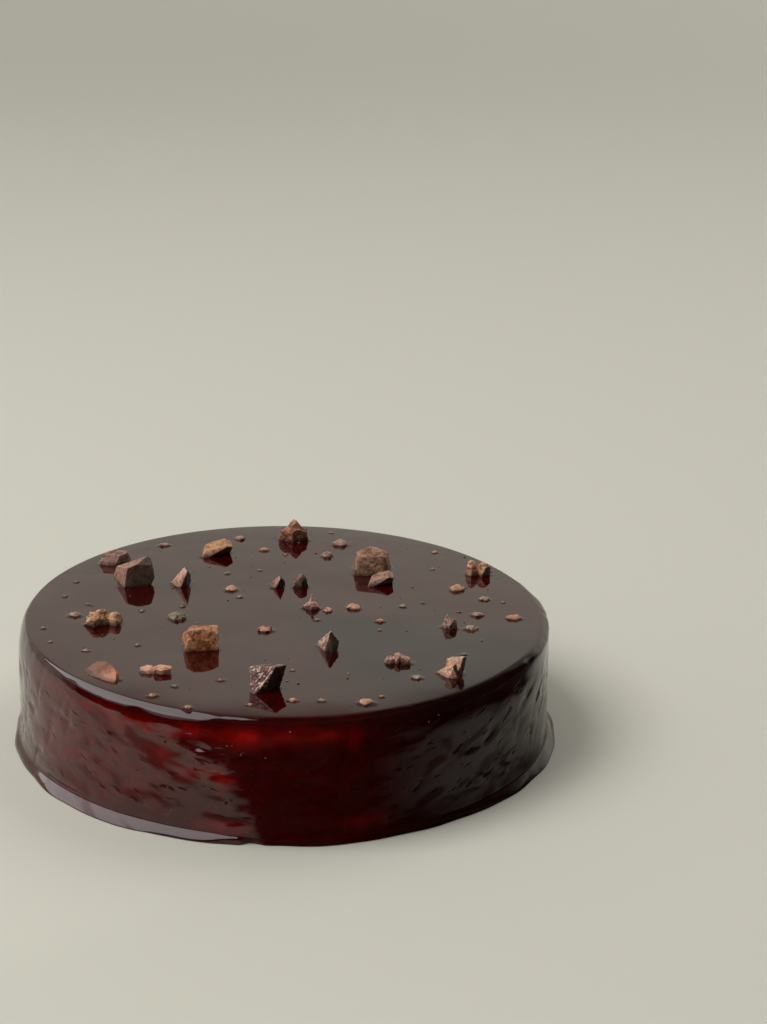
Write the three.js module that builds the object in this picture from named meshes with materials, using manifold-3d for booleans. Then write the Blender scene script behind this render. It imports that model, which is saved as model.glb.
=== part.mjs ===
// Chocolate nougat cake: one low round cake under a mirror glaze, strewn with chopped nougat pieces.
// Millimetres, +Z up. The origin is the middle of the flat underside, and -Y is the front.

import * as THREE from 'three';
import { mergeVertices } from 'three/addons/utils/BufferGeometryUtils.js';
import Module from 'manifold-3d';

const wasm = await Module();
wasm.setup();

// Driving dimensions of the glazed cake
const HEIGHT = 52.3; // flat top above the underside
const TOP_RADIUS = 111.2; // side just under the rounded edge
const BASE_RADIUS = 111.6; // side just above the foot
const FLARE_FROM = 14; // height at which the side starts to widen towards the foot
const SHOULDER_IN = 4.5; // how far in from the side the top rolls over
const SHOULDER_DOWN = 4; // how far below the top the roll ends
const SAG_FROM = 86; // the top sinks a little outside this radius
const SAG = 0.5; // how far it has sunk at the roll
const FOOT_HEIGHT = 4.4; // glaze that ran down and pooled round the foot
const FOOT_SLOPE = 1.4; // 1 is an even slope, more is rounder
const FOOT_LINE = [ // azimuth, and how far the pool stands out there
  [0, 3.6], [50, 2.4], [120, 1.9], [180, 2], [205, 1.6], [221, 3.8], [233, 3.8], [243, 1.6], [256, -0.4],
  [262, -2.4], [267, 1], [282, 1.9], [296, 1.1], [312, 2], [330, 3.6], [348, 4.1], [360, 3.6],
];
const FOOT_WAVES = [[17, 0.22, 1.1], [29, 0.16, 0]]; // count, height, shift

// Steps of the cake's surface
const AROUND = 132;
const SHOULDER_ROWS = 6;
const SAG_ROWS = 3;
const SIDE_ROWS = 11;
const FOOT_ROWS = 4;

// Marks that the palette knife left in the side under the glaze
const KNIFE_MARKS = 110;
const MARK_SEED = 11;
const MARK_LENGTH = [7, 17];
const MARK_WIDTH = [2.4, 4.6];
const MARK_DEPTH = [0.25, 0.85];
const MARK_SLANT = [-35, 50]; // degrees from level
const BROAD_WAVES = [[3, 0.35, 0.4], [5, 0.3, 2.1], [9, 0.22, 4.4]]; // count round the cake, height, shift
const WAVE_TWIST = 0.04; // how far a wave shifts with each millimetre of height

// Toppings
const SINK = 0.8; // how deep a chopped piece stands in the glaze
const GAP = 0.3; // clearance between a piece and the dent it stands in
const CRUMB_SUNK = 0.4; // share of a crumb's height that is under the glaze
const CRUMB_DEPTH = 0.8; // front to back, as a share of its width
const CRUMB_RISE = 0.55; // height, as a share of its width
const CRUMB_STRETCH = [0.8, 1.15]; // how far its corners stand in or out of an even shape
const CRUMB_SEED = 100;
const FINE_CRUMBS = 26;
const FINE_SEED = 77;
const FINE_WIDTH = [1.7, 2.8];
const FINE_CLEAR = 5; // a fine crumb keeps this far from every other topping

const GLAZE = { color: '#35100c', roughness: 0.05, metalness: 0 };
const NOUGAT = { color: '#5b372b', roughness: 0.5, metalness: 0 };

const rad = THREE.MathUtils.degToRad;

// A repeatable draw of numbers from 0 to 1
function draws(seed) {
  let state = seed;
  return () => {
    state = (state + 0x6d2b79f5) | 0;
    let mixed = Math.imul(state ^ (state >>> 15), 1 | state);
    mixed = (mixed + Math.imul(mixed ^ (mixed >>> 7), 61 | mixed)) ^ mixed;
    return ((mixed ^ (mixed >>> 14)) >>> 0) / 4294967296;
  };
}

function between(draw, [low, high]) {
  return low + (high - low) * draw();
}

// Solids and geometries, for cutting and joining
function toSolid(geometry) {
  const bare = geometry.clone();
  bare.deleteAttribute('normal');
  bare.deleteAttribute('uv');
  const merged = mergeVertices(bare, 1e-4);
  const vertProperties = new Float32Array(merged.attributes.position.array);
  const triVerts = new Uint32Array(merged.index.array);
  return new wasm.Manifold(new wasm.Mesh({ numProp: 3, vertProperties, triVerts }));
}

function toGeometry(solid) {
  const { vertProperties, triVerts } = solid.getMesh();
  const geometry = new THREE.BufferGeometry();
  geometry.setAttribute('position', new THREE.BufferAttribute(vertProperties, 3));
  geometry.setIndex(new THREE.BufferAttribute(triVerts, 1));
  geometry.computeVertexNormals();
  return geometry;
}

function namedMesh(name, geometry, finish) {
  const mesh = new THREE.Mesh(geometry, new THREE.MeshStandardMaterial(finish));
  mesh.name = name;
  return mesh;
}

// The glazed cake

// The side is upright down to the flare, which widens as the square of the depth below it.
function sideRadius(z) {
  const flare = Math.max(0, FLARE_FROM - z) / FLARE_FROM;
  return TOP_RADIUS + (BASE_RADIUS - TOP_RADIUS) * flare ** 2;
}

// The pool's share of its reach: a rounded bead, full at the underside
function footShare(z) {
  return 1 - THREE.MathUtils.clamp(z / FOOT_HEIGHT, 0, 1) ** FOOT_SLOPE;
}

// Half section from the middle of the underside, up the side and over the shoulder, without the pooled foot
function cakeProfile() {
  const points = [new THREE.Vector2(0, 0)];
  for (let row = 0; row < FOOT_ROWS; row++) {
    const z = FOOT_HEIGHT * (row / FOOT_ROWS);
    points.push(new THREE.Vector2(sideRadius(z), z));
  }
  const sideTop = HEIGHT - SHOULDER_DOWN;
  for (let row = 0; row <= SIDE_ROWS; row++) {
    const z = THREE.MathUtils.lerp(FOOT_HEIGHT, sideTop, row / SIDE_ROWS);
    points.push(new THREE.Vector2(sideRadius(z), z));
  }
  for (let row = 1; row <= SHOULDER_ROWS; row++) {
    const radius = TOP_RADIUS - SHOULDER_IN * (1 - Math.cos((Math.PI / 2) * (row / SHOULDER_ROWS)));
    points.push(new THREE.Vector2(radius, HEIGHT - topDrop(radius)));
  }
  for (let row = 1; row <= SAG_ROWS; row++) {
    const radius = THREE.MathUtils.lerp(TOP_RADIUS - SHOULDER_IN, SAG_FROM, row / SAG_ROWS);
    points.push(new THREE.Vector2(radius, HEIGHT - topDrop(radius)));
  }
  points.push(new THREE.Vector2(0, HEIGHT));
  return points;
}

// How far the surface lies below the flat top at a distance from the middle: the sag, then a quarter ellipse
function topDrop(radius) {
  const flatTo = TOP_RADIUS - SHOULDER_IN;
  const sagged = SAG * THREE.MathUtils.clamp((radius - SAG_FROM) / (flatTo - SAG_FROM), 0, 1) ** 2;
  const out = THREE.MathUtils.clamp((radius - flatTo) / SHOULDER_IN, 0, 1);
  return sagged + (SHOULDER_DOWN - SAG) * (1 - Math.sqrt(1 - out ** 2));
}

// Long shallow dents, each a slanted oval on the unrolled side
function knifeMarks() {
  const draw = draws(MARK_SEED);
  const marks = [];
  for (let i = 0; i < KNIFE_MARKS; i++) {
    marks.push({
      angle: 2 * Math.PI * ((i + draw()) / KNIFE_MARKS),
      z: between(draw, [FOOT_HEIGHT + 3, HEIGHT - SHOULDER_DOWN]),
      length: between(draw, MARK_LENGTH),
      width: between(draw, MARK_WIDTH),
      depth: between(draw, MARK_DEPTH),
      slant: rad(between(draw, MARK_SLANT)),
    });
  }
  return marks;
}

// How far the side stands in or out at an angle and a height, in millimetres
function sideRelief(angle, z, marks) {
  let relief = 0;
  for (const [count, height, shift] of BROAD_WAVES) {
    relief += height * Math.sin(count * angle + shift + z * WAVE_TWIST);
  }
  for (const mark of marks) {
    const turn = Math.atan2(Math.sin(angle - mark.angle), Math.cos(angle - mark.angle));
    const along = turn * TOP_RADIUS;
    const up = z - mark.z;
    const lengthwise = (along * Math.cos(mark.slant) + up * Math.sin(mark.slant)) / (mark.length / 2);
    const across = (up * Math.cos(mark.slant) - along * Math.sin(mark.slant)) / (mark.width / 2);
    relief -= mark.depth * Math.exp(-(lengthwise ** 2) - across ** 2);
  }
  return relief;
}

// How far the pooled foot stands out: the line above, blended smoothly, with small waves
function footReach(angle) {
  const azimuth = (THREE.MathUtils.radToDeg(angle) + 360) % 360;
  const next = FOOT_LINE.findIndex(([at]) => at > azimuth);
  const [from, low] = FOOT_LINE[next - 1];
  const [to, high] = FOOT_LINE[next];
  let reach = THREE.MathUtils.lerp(low, high, THREE.MathUtils.smoothstep(azimuth, from, to));
  for (const [count, height, shift] of FOOT_WAVES) {
    reach += height * Math.sin(count * angle + shift);
  }
  return reach;
}

function cakeBody() {
  const body = new THREE.LatheGeometry(cakeProfile(), AROUND);
  body.rotateX(Math.PI / 2);
  body.deleteAttribute('normal');
  body.deleteAttribute('uv');
  const merged = mergeVertices(body, 1e-4);
  const marks = knifeMarks();
  const position = merged.attributes.position;
  for (let i = 0; i < position.count; i++) {
    const x = position.getX(i);
    const y = position.getY(i);
    const z = position.getZ(i);
    const radius = Math.hypot(x, y);
    const angle = Math.atan2(y, x);
    const sideShare = THREE.MathUtils.smoothstep(radius, TOP_RADIUS - SHOULDER_IN, TOP_RADIUS);
    const relief = THREE.MathUtils.smoothstep(z, 0, 2 * FOOT_HEIGHT) * sideRelief(angle, z, marks);
    const moved = sideShare * (relief + footShare(z) * footReach(angle));
    const scale = radius > 0 ? (radius + moved) / radius : 1;
    position.setXY(i, x * scale, y * scale);
  }
  return merged;
}

// Chopped pieces

// A face's azimuth is 0 to the right and 270 to the front, and its slope is 90 when it faces up.
function facePlane([azimuth, slope, reach]) {
  const level = Math.cos(rad(slope));
  const normal = new THREE.Vector3(
    level * Math.cos(rad(azimuth)),
    level * Math.sin(rad(azimuth)),
    Math.sin(rad(slope)),
  );
  return new THREE.Plane(normal, -reach);
}

// The point where three planes meet, or null where two of them are nearly parallel
function meetingPoint(a, b, c) {
  const bc = new THREE.Vector3().crossVectors(b.normal, c.normal);
  const ca = new THREE.Vector3().crossVectors(c.normal, a.normal);
  const ab = new THREE.Vector3().crossVectors(a.normal, b.normal);
  const volume = a.normal.dot(bc);
  if (Math.abs(volume) < 1e-3) {
    return null;
  }
  const point = bc.multiplyScalar(-a.constant);
  point.addScaledVector(ca, -b.constant);
  point.addScaledVector(ab, -c.constant);
  return point.divideScalar(volume);
}

// A broken piece is the space inside all of its faces
function insideFaces(faces) {
  const planes = faces.map(facePlane);
  const corners = [];
  for (let i = 0; i < planes.length; i++) {
    for (let j = i + 1; j < planes.length; j++) {
      for (let k = j + 1; k < planes.length; k++) {
        const point = meetingPoint(planes[i], planes[j], planes[k]);
        if (point && planes.every((plane) => plane.distanceToPoint(point) < 1e-5)) {
          corners.push(point);
        }
      }
    }
  }
  return toGeometry(wasm.Manifold.hull(corners.map((corner) => corner.toArray())));
}

// Each shape gives the faces of a piece about 2 across before it is fitted to its size.
function roof(draw) {
  const faces = [[0, -90, 1]];
  for (const side of [0, 180]) {
    faces.push([side + between(draw, [-12, 12]), between(draw, [30, 48]), between(draw, [0.55, 0.75])]);
    faces.push([side + between(draw, [-15, 15]), between(draw, [0, 15]), 0.9]);
    faces.push([side + 90 + between(draw, [-20, 20]), between(draw, [8, 35]), between(draw, [0.75, 1])]);
    faces.push([side + 90 + between(draw, [25, 50]), between(draw, [20, 50]), between(draw, [0.85, 1.05])]);
  }
  return faces;
}

function slab(draw) {
  const faces = [[0, -90, 1], [between(draw, [0, 360]), between(draw, [78, 86]), 0.8]];
  for (let side = 0; side < 6; side++) {
    faces.push([60 * side + between(draw, [-18, 18]), between(draw, [-6, 30]), between(draw, [0.75, 1.05])]);
  }
  return faces;
}

function spike(draw) {
  const faces = [[0, -90, 1]];
  for (let side = 0; side < 5; side++) {
    faces.push([72 * side + between(draw, [-16, 16]), between(draw, [18, 32]), between(draw, [0.42, 0.6])]);
  }
  faces.push([between(draw, [0, 360]), 65, 1]);
  return faces;
}

function lump(draw) {
  const faces = [[0, -90, 1]];
  for (const [count, slope] of [[5, 6], [5, 38], [3, 66]]) {
    for (let side = 0; side < count; side++) {
      const azimuth = (360 / count) * (side + between(draw, [-0.3, 0.3])) + slope;
      faces.push([azimuth, slope + between(draw, [-12, 12]), between(draw, [0.85, 1.02])]);
    }
  }
  return faces;
}

// A chip off a thick disc of radius 1, leaning back: its flat face looks to the front left and up.
function halfMoon(draw) {
  const [azimuth, slope, halfThick, cutAt] = [228, 44, 0.16, 0.03];
  const faces = [[0, -90, -cutAt], [azimuth, slope, halfThick], [azimuth - 180, -slope, halfThick]];
  const along = new THREE.Vector3(Math.cos(rad(azimuth + 90)), Math.sin(rad(azimuth + 90)), 0);
  const upward = new THREE.Vector3(-along.y, along.x, 0).multiplyScalar(Math.sin(rad(slope)));
  upward.setZ(Math.cos(rad(slope)));
  for (let turn = -10; turn <= 190; turn += 20) {
    const rim = along.clone().multiplyScalar(Math.cos(rad(turn)));
    rim.addScaledVector(upward, Math.sin(rad(turn)));
    const rimAzimuth = THREE.MathUtils.radToDeg(Math.atan2(rim.y, rim.x));
    faces.push([rimAzimuth, THREE.MathUtils.radToDeg(Math.asin(rim.z)), between(draw, [0.96, 1.02])]);
  }
  return faces;
}

// A shape with faces of its own, for a piece that shows its faces plainly
function cut(faces) {
  return () => [[0, -90, 1], ...faces];
}

// A lobe is one convex piece. size is across, front to back and above the glaze, shift is from the chunk's
// middle to the lobe's, turn is about the upright, and lean tips it towards an azimuth by some degrees.
function lobeGeometry(lobe) {
  const geometry = insideFaces(lobe.shape(draws(lobe.seed ?? 0)));
  geometry.rotateZ(rad(lobe.turn ?? 0));
  if (lobe.lean) {
    const [azimuth, tip] = lobe.lean;
    const axis = new THREE.Vector3(-Math.sin(rad(azimuth)), Math.cos(rad(azimuth)), 0);
    geometry.applyMatrix4(new THREE.Matrix4().makeRotationAxis(axis, rad(tip)));
  }
  geometry.computeBoundingBox();
  const box = geometry.boundingBox;
  const span = box.getSize(new THREE.Vector3());
  const middle = box.getCenter(new THREE.Vector3());
  const [width, depth, height] = lobe.size;
  const sink = lobe.sink ?? SINK;
  geometry.translate(-middle.x, -middle.y, -box.min.z);
  geometry.scale(width / span.x, depth / span.y, (height + sink) / span.z);
  const [right, back] = lobe.shift ?? [0, 0];
  geometry.translate(right, back, HEIGHT - sink);
  return geometry;
}

// The same piece grown by the gap to the left and right, front and back, and up and down, for its dent
function grown(geometry) {
  const position = geometry.attributes.position;
  const corners = [];
  for (let i = 0; i < position.count; i++) {
    for (const axis of [0, 1, 2]) {
      for (const step of [-GAP, GAP]) {
        const corner = new THREE.Vector3().fromBufferAttribute(position, i);
        corner.setComponent(axis, corner.getComponent(axis) + step);
        corners.push(corner.toArray());
      }
    }
  }
  return wasm.Manifold.hull(corners);
}

function joined(solids) {
  return solids.reduce((sum, solid) => sum.add(solid));
}

// Faces of the pieces that show them plainly: azimuth, slope and distance from the middle
const LEANING_CUBE = [
  [198, 10, 0.95], [282, 12, 0.86], [4, 10, 0.9], [6, -24, 0.96], [90, 12, 0.9], [168, 64, 0.72],
  [330, 72, 0.95], [335, 30, 1.08], [232, 32, 1.15],
];
const LEAF = [
  [212, 30, 0.6], [168, 42, 0.78], [245, 14, 0.8], [344, -4, 0.6], [80, 22, 0.85], [300, -12, 0.78],
  [20, 40, 0.9], [130, 30, 0.95],
];
const LID = [
  [205, 64, 0.5], [262, 24, 0.85], [312, -26, 0.7], [12, -6, 1], [90, 6, 0.85], [180, 12, 1],
  [140, 35, 0.95], [350, 50, 0.95],
];
const CUBE = [
  [266, 12, 0.82], [186, 6, 0.92], [4, 8, 0.92], [92, 10, 0.85], [245, 74, 0.86], [214, 46, 1.12],
  [332, 44, 1.14], [150, 50, 1.1], [310, 14, 1.12], [40, 50, 1.1],
];
const CUT_BLOCK = [
  [277, 5, 0.82], [188, 3, 0.95], [166, 40, 0.92], [100, 78, 0.8], [3, 1, 0.94], [90, 10, 0.82],
  [226, 18, 1.1], [330, 60, 1.08],
];
const TOOTH = [
  [204, 20, 0.74], [310, 22, 0.74], [84, 20, 0.85], [20, 38, 0.84], [350, -10, 0.96], [168, 48, 0.9],
  [256, 8, 0.86],
];
const TILTED_CUBE = [
  [234, 30, 0.7], [326, -8, 0.66], [96, 76, 0.84], [62, 0, 0.9], [182, -5, 0.9], [14, -14, 1],
  [280, 4, 0.98], [140, 12, 1], [210, 60, 0.95],
];

// The pieces as large as berries, by where they stand on the top, from the back to the front
const CHUNKS = [
  { at: [-75, 57], lobes: [{ shape: slab, size: [14.5, 9, 5.5], lean: [200, 12], seed: 3 }] },
  { at: [-65.3, 33], lobes: [{ shape: cut(LEANING_CUBE), size: [19, 14, 10.3] }] },
  { at: [-45, 31], lobes: [{ shape: cut(LEAF), size: [9.4, 10, 8.2] }] },
  { at: [-30, 67.5], lobes: [{ shape: cut(LID), size: [14, 10, 6.2] }] },
  {
    at: [4, 88],
    lobes: [
      { shape: lump, size: [13.5, 10, 6.6], seed: 21 },
      { shape: roof, size: [9.4, 8.4, 9.6], turn: 12, seed: 4 },
    ],
  },
  { at: [-3.4, 28.6], lobes: [{ shape: cut(LEAF), size: [7.7, 7, 5.4], turn: -12 }] },
  { at: [6.8, 28.8], lobes: [{ shape: lump, size: [7.6, 7, 5.6], turn: 20, seed: 9 }] },
  {
    at: [11.2, 3],
    lobes: [
      { shape: lump, size: [8, 6.4, 3.2], seed: 31 },
      { shape: spike, size: [4, 4, 6.8], shift: [0.2, 0.6], seed: 2 },
    ],
  },
  { at: [38.5, 46], lobes: [{ shape: cut(CUBE), size: [17, 13, 10.6], turn: -6 }] },
  { at: [41.4, 31.6], lobes: [{ shape: cut(LID), size: [11.8, 8.5, 5.4], turn: -8 }] },
  {
    at: [84.6, 44],
    lobes: [
      { shape: lump, size: [6.2, 7, 6.4], shift: [-2.4, 0], seed: 41 },
      { shape: lump, size: [6.8, 7.4, 5.8], shift: [2.2, -0.6], seed: 43 },
    ],
  },
  {
    at: [-74.5, -15],
    lobes: [
      { shape: lump, size: [8.6, 8.4, 5.6], shift: [-3.7, 0], seed: 51 },
      { shape: lump, size: [7.6, 8, 6.2], shift: [-0.4, 0.6], seed: 55 },
      { shape: lump, size: [9, 8, 4.8], shift: [3.7, 0.4], seed: 53 },
    ],
  },
  { at: [-34, -39.5], lobes: [{ shape: cut(CUT_BLOCK), size: [15.3, 11, 9.4] }] },
  { at: [17.2, -41], lobes: [{ shape: cut(TOOTH), size: [9.8, 8.6, 8] }] },
  { at: [-6.4, -81.5], lobes: [{ shape: cut(TILTED_CUBE), size: [14.7, 11.5, 10.6] }] },
  {
    at: [45, -56],
    lobes: [
      { shape: lump, size: [5.2, 4.6, 2.9], shift: [-2.6, 0], seed: 61 },
      { shape: lump, size: [5, 4.4, 4.1], shift: [0.3, 0.3], seed: 65 },
      { shape: lump, size: [5.4, 4.8, 3], shift: [2.7, 0.1], seed: 63 },
    ],
  },
  {
    at: [66, -68],
    lobes: [
      { shape: cut(TOOTH), size: [10.6, 7.8, 5.4], shift: [-1.4, -0.4], turn: 10 },
      { shape: cut(TILTED_CUBE), size: [8.4, 8, 7.9], shift: [1.9, 0.6], turn: 14 },
    ],
  },
  {
    at: [68.2, -18.6],
    lobes: [
      { shape: lump, size: [6, 5.6, 4.6], shift: [0.5, -0.4], seed: 81 },
      { shape: spike, size: [4.4, 4.4, 6], shift: [-1.6, 0.5], seed: 13 },
    ],
  },
  { at: [-72.6, -69.6], lobes: [{ shape: halfMoon, size: [16.3, 15.2, 4.9], sink: 2, seed: 47 }] },
  {
    at: [-50.5, -66],
    lobes: [
      { shape: slab, size: [8, 6, 2.4], sink: 2, shift: [-2.4, 0.4], lean: [190, 12], seed: 57 },
      { shape: slab, size: [8.4, 6, 3], sink: 2, shift: [2.2, -0.4], lean: [300, 14], seed: 59 },
    ],
  },
];

// Crumbs that show from a step away: right, back and width
const CRUMBS = [
  [-87, -6, 5], [-44, -8, 8], [-50.5, -88, 3.4], [-36.5, -99, 3], [3.5, -93, 3.2], [14.5, -93, 2.6],
  [31, -95, 5.4], [-23, 24, 5.6], [-54, 79, 4.6], [-20, 88, 4.6], [-9, 73, 4], [-8, -22, 6],
  [19, 66, 5.8], [25, 81, 7.4], [18.5, 0, 4.2], [29, 3, 5.6], [50, 5, 3.2], [40, -12, 3.6],
  [52, -71, 4.4], [74, 25, 6.8], [85, 13, 4.6], [81, -5, 4.8], [96, -8, 5.4], [77, -20, 5],
  [-93, 16, 2.6], [-13, -97, 2.4],
];

function crumbGeometry(width, seed) {
  const draw = draws(seed);
  const crumb = new THREE.IcosahedronGeometry(0.5, 0);
  crumb.deleteAttribute('normal');
  crumb.deleteAttribute('uv');
  const merged = mergeVertices(crumb, 1e-4);
  const position = merged.attributes.position;
  for (let i = 0; i < position.count; i++) {
    const stretch = between(draw, CRUMB_STRETCH);
    position.setXYZ(i, position.getX(i) * stretch, position.getY(i) * stretch, position.getZ(i) * stretch);
  }
  merged.rotateZ(2 * Math.PI * draw());
  merged.scale(width, width * CRUMB_DEPTH, width * CRUMB_RISE);
  merged.translate(0, 0, HEIGHT + width * CRUMB_RISE * (0.5 - CRUMB_SUNK));
  return merged;
}

// Fine crumbs lie all over the top, each in its own cell of a sunflower spread, clear of larger toppings.
function fineCrumbs() {
  const draw = draws(FINE_SEED);
  const goldenTurn = Math.PI * (3 - Math.sqrt(5));
  const crumbs = [];
  for (let i = 0; crumbs.length < FINE_CRUMBS; i++) {
    const radius = (TOP_RADIUS - SHOULDER_IN - FINE_CLEAR) * Math.sqrt(((i + draw()) / FINE_CRUMBS) % 1);
    const angle = i * goldenTurn + 0.5 * draw();
    const crumb = [radius * Math.cos(angle), radius * Math.sin(angle), between(draw, FINE_WIDTH)];
    if (isClear(crumb, crumbs)) {
      crumbs.push(crumb);
    }
  }
  return crumbs;
}

function isClear([x, y, width], others) {
  const chunksClear = CHUNKS.every(({ at, lobes }) => {
    const half = Math.max(...lobes.map(({ size }) => size[0]));
    return Math.hypot(x - at[0], y - at[1]) > FINE_CLEAR + half;
  });
  const crumbsClear = [...CRUMBS, ...others].every((crumb) => {
    return Math.hypot(x - crumb[0], y - crumb[1]) > FINE_CLEAR + (width + crumb[2]) / 2;
  });
  return chunksClear && crumbsClear;
}

// The whole cake
const cake = new THREE.Group();
let glazed = toSolid(cakeBody());

[...CRUMBS, ...fineCrumbs()].forEach(([x, y, width], i) => {
  const crumb = crumbGeometry(width, CRUMB_SEED + i);
  crumb.translate(x, y, -topDrop(Math.hypot(x, y)));
  glazed = glazed.add(toSolid(crumb));
});

CHUNKS.forEach(({ at, lobes }, i) => {
  const geometries = lobes.map(lobeGeometry);
  for (const geometry of geometries) {
    geometry.translate(at[0], at[1], -topDrop(Math.hypot(...at)));
  }
  glazed = glazed.subtract(joined(geometries.map(grown)));
  const piece = toGeometry(joined(geometries.map(toSolid)));
  cake.add(namedMesh(`chunk_${String(i + 1).padStart(2, '0')}`, piece, NOUGAT));
});

cake.add(namedMesh('cake', toGeometry(glazed), GLAZE));

export default cake;
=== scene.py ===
# %% [markdown]
# # Chocolate nougat cake
# A low round cake under a dark cocoa mirror glaze, strewn with chopped chocolate nougat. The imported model
# holds each solid at its real place and size. The cells below keep those places and forms, and make what the
# eye sees: the wet glaze with the palette knife's marks under it, the broken nougat and the toasted crumbs.

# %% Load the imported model
import math

import bpy
import numpy as np
from mathutils import Matrix, Vector


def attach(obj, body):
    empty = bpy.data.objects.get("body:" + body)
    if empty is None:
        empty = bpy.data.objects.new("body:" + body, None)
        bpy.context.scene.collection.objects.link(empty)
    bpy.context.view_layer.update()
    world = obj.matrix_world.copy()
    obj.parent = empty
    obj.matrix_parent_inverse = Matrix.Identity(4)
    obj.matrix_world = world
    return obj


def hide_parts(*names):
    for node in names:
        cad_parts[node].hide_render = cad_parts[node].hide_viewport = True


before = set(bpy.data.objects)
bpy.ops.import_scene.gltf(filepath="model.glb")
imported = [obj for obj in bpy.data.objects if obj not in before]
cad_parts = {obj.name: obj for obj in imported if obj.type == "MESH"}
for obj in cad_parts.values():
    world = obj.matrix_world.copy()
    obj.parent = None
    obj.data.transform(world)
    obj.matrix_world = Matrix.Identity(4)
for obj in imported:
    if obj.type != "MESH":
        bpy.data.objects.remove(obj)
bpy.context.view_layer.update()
MM = 0.001  # metres in a millimetre

# %% [markdown]
# ## The camera
# A picture's viewpoint could be guessed and nudged, but a round cake gives it away: the widths and heights of
# its ellipses fix the distance, the tilt and the lens. The camera stands about a metre away, looks down by
# nineteen degrees and has a long lens, so the far rim is only a little smaller than the near one.

# %% Place the camera
CAMERA_AT = (0.04, -955.8, 433.2)  # mm from the middle of the underside
LOOKS_RIGHT, LOOKS_DOWN, LEANS = 2.448, 19.392, 1.009  # degrees, the last one clockwise
LENS, LONG_SIDE = 86.0, 36.0  # mm, and the sensor's mm along the picture's long side

yaw, pitch, roll = np.radians([LOOKS_RIGHT, LOOKS_DOWN, LEANS])
ahead = Vector((math.sin(yaw) * math.cos(pitch), math.cos(yaw) * math.cos(pitch), -math.sin(pitch)))
level = Vector((math.cos(yaw), -math.sin(yaw), 0))
upright = level.cross(ahead)
right = math.cos(roll) * level + math.sin(roll) * upright
up = math.cos(roll) * upright - math.sin(roll) * level

lens = bpy.data.cameras.new("lens")
lens.lens = LENS
lens.sensor_width = LONG_SIDE
lens.dof.use_dof = False
camera = bpy.data.objects.new("camera", lens)
bpy.context.scene.collection.objects.link(camera)
camera_turn = Matrix((right, up, -ahead)).transposed().to_4x4()
camera.matrix_world = Matrix.Translation(Vector(CAMERA_AT) * MM) @ camera_turn
bpy.context.scene.camera = camera
print("camera", round((Vector(CAMERA_AT) * MM).length, 3), "m away")

# %% [markdown]
# ## Helpers for meshes and materials
# Every surface here is a grid of points worked out with numpy. One function turns such a grid into quads, and
# one puts points and faces into a mesh. Colours are written as they look on a screen and turned to linear
# light, which is what the renderer adds and multiplies.

# %% Grids and meshes
def grid_faces(rows, columns, closed=True):
    """Quads between neighbouring rows and columns of a grid, where point (row, column) has the number
    row * columns + column. In a closed grid the last column meets the first one."""
    row = np.arange(rows - 1)[:, None]
    column = np.arange(columns if closed else columns - 1)[None, :]
    after = (column + 1) % columns
    quads = np.stack([row * columns + column, row * columns + after,
                      (row + 1) * columns + after, (row + 1) * columns + column], axis=-1)
    return quads.reshape(-1, 4)


def fan_faces(centre, ring):
    """Triangles from one point to a closed ring of points, facing the side from which the ring runs round
    against the clock."""
    return np.stack([np.full(len(ring), centre), ring, np.roll(ring, -1)], axis=-1)


def put_mesh(name, points, quads, triangles=(), **attributes):
    """Makes an object at the origin from points in millimetres, with smooth faces. An attribute holds one
    number or one triple for each point."""
    mesh = bpy.data.meshes.new(name)
    faces = np.asarray(quads).tolist() + np.asarray(triangles).tolist()
    mesh.from_pydata((np.asarray(points) * MM).tolist(), [], faces)
    mesh.shade_smooth()
    for key, values in attributes.items():
        values = np.asarray(values, np.float32)
        kind, field = ("FLOAT_VECTOR", "vector") if values.ndim > 1 else ("FLOAT", "value")
        mesh.attributes.new(key, kind, "POINT").data.foreach_set(field, values.ravel())
    thing = bpy.data.objects.new(name, mesh)
    bpy.context.scene.collection.objects.link(thing)
    return thing


def polar(radius, turn, z):
    """Points (..., 3) at a radius, an angle in radians and a height: the radius times the angle's cosine and
    sine, and the height."""
    return np.stack(np.broadcast_arrays(radius * np.cos(turn), radius * np.sin(turn), z), axis=-1)


# %% Colours, materials, nodes, a smooth step and a direction
def linear(colour):
    """Linear light of a screen colour such as '#a03020': each channel up to 0.04045 is divided by 12.92, and
    the rest follow the 2.4 power curve."""
    screen = np.array([int(colour[i:i + 2], 16) for i in (1, 3, 5)]) / 255
    return np.where(screen <= 0.04045, screen / 12.92, ((screen + 0.055) / 1.055) ** 2.4)


def new_material(name):
    """A material, its node tree and the main shader in it."""
    made = bpy.data.materials.new(name)
    made.use_nodes = True
    return made, made.node_tree, made.node_tree.nodes["Principled BSDF"]


def node(tree, kind, sockets=None, **settings):
    """Adds a node with its settings, then fills its inputs: a node is linked by its first output, an output
    socket is linked as it is, and a value is set."""
    made = tree.nodes.new(kind)
    for key, value in settings.items():
        setattr(made, key, value)
    for key, value in (sockets or {}).items():
        if isinstance(value, bpy.types.Node):
            value = value.outputs[0]
        if isinstance(value, bpy.types.NodeSocket):
            tree.links.new(value, made.inputs[key])
        else:
            made.inputs[key].default_value = value
    return made


def smoothstep(value, low, high):
    """0 below low, 1 above high, and 3t^2 - 2t^3 between, with t the share of the way."""
    share = np.clip((value - low) / (high - low), 0, 1)
    return share * share * (3 - 2 * share)


def direction(azimuth, rise):
    """Unit vector at an azimuth and a rise in degrees, where azimuth 0 is to the right and 90 behind the
    cake: the azimuth's cosine and sine times the rise's cosine, and the rise's sine."""
    azimuth, rise = math.radians(azimuth), math.radians(rise)
    return np.array([math.cos(azimuth) * math.cos(rise), math.sin(azimuth) * math.cos(rise), math.sin(rise)])


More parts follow.
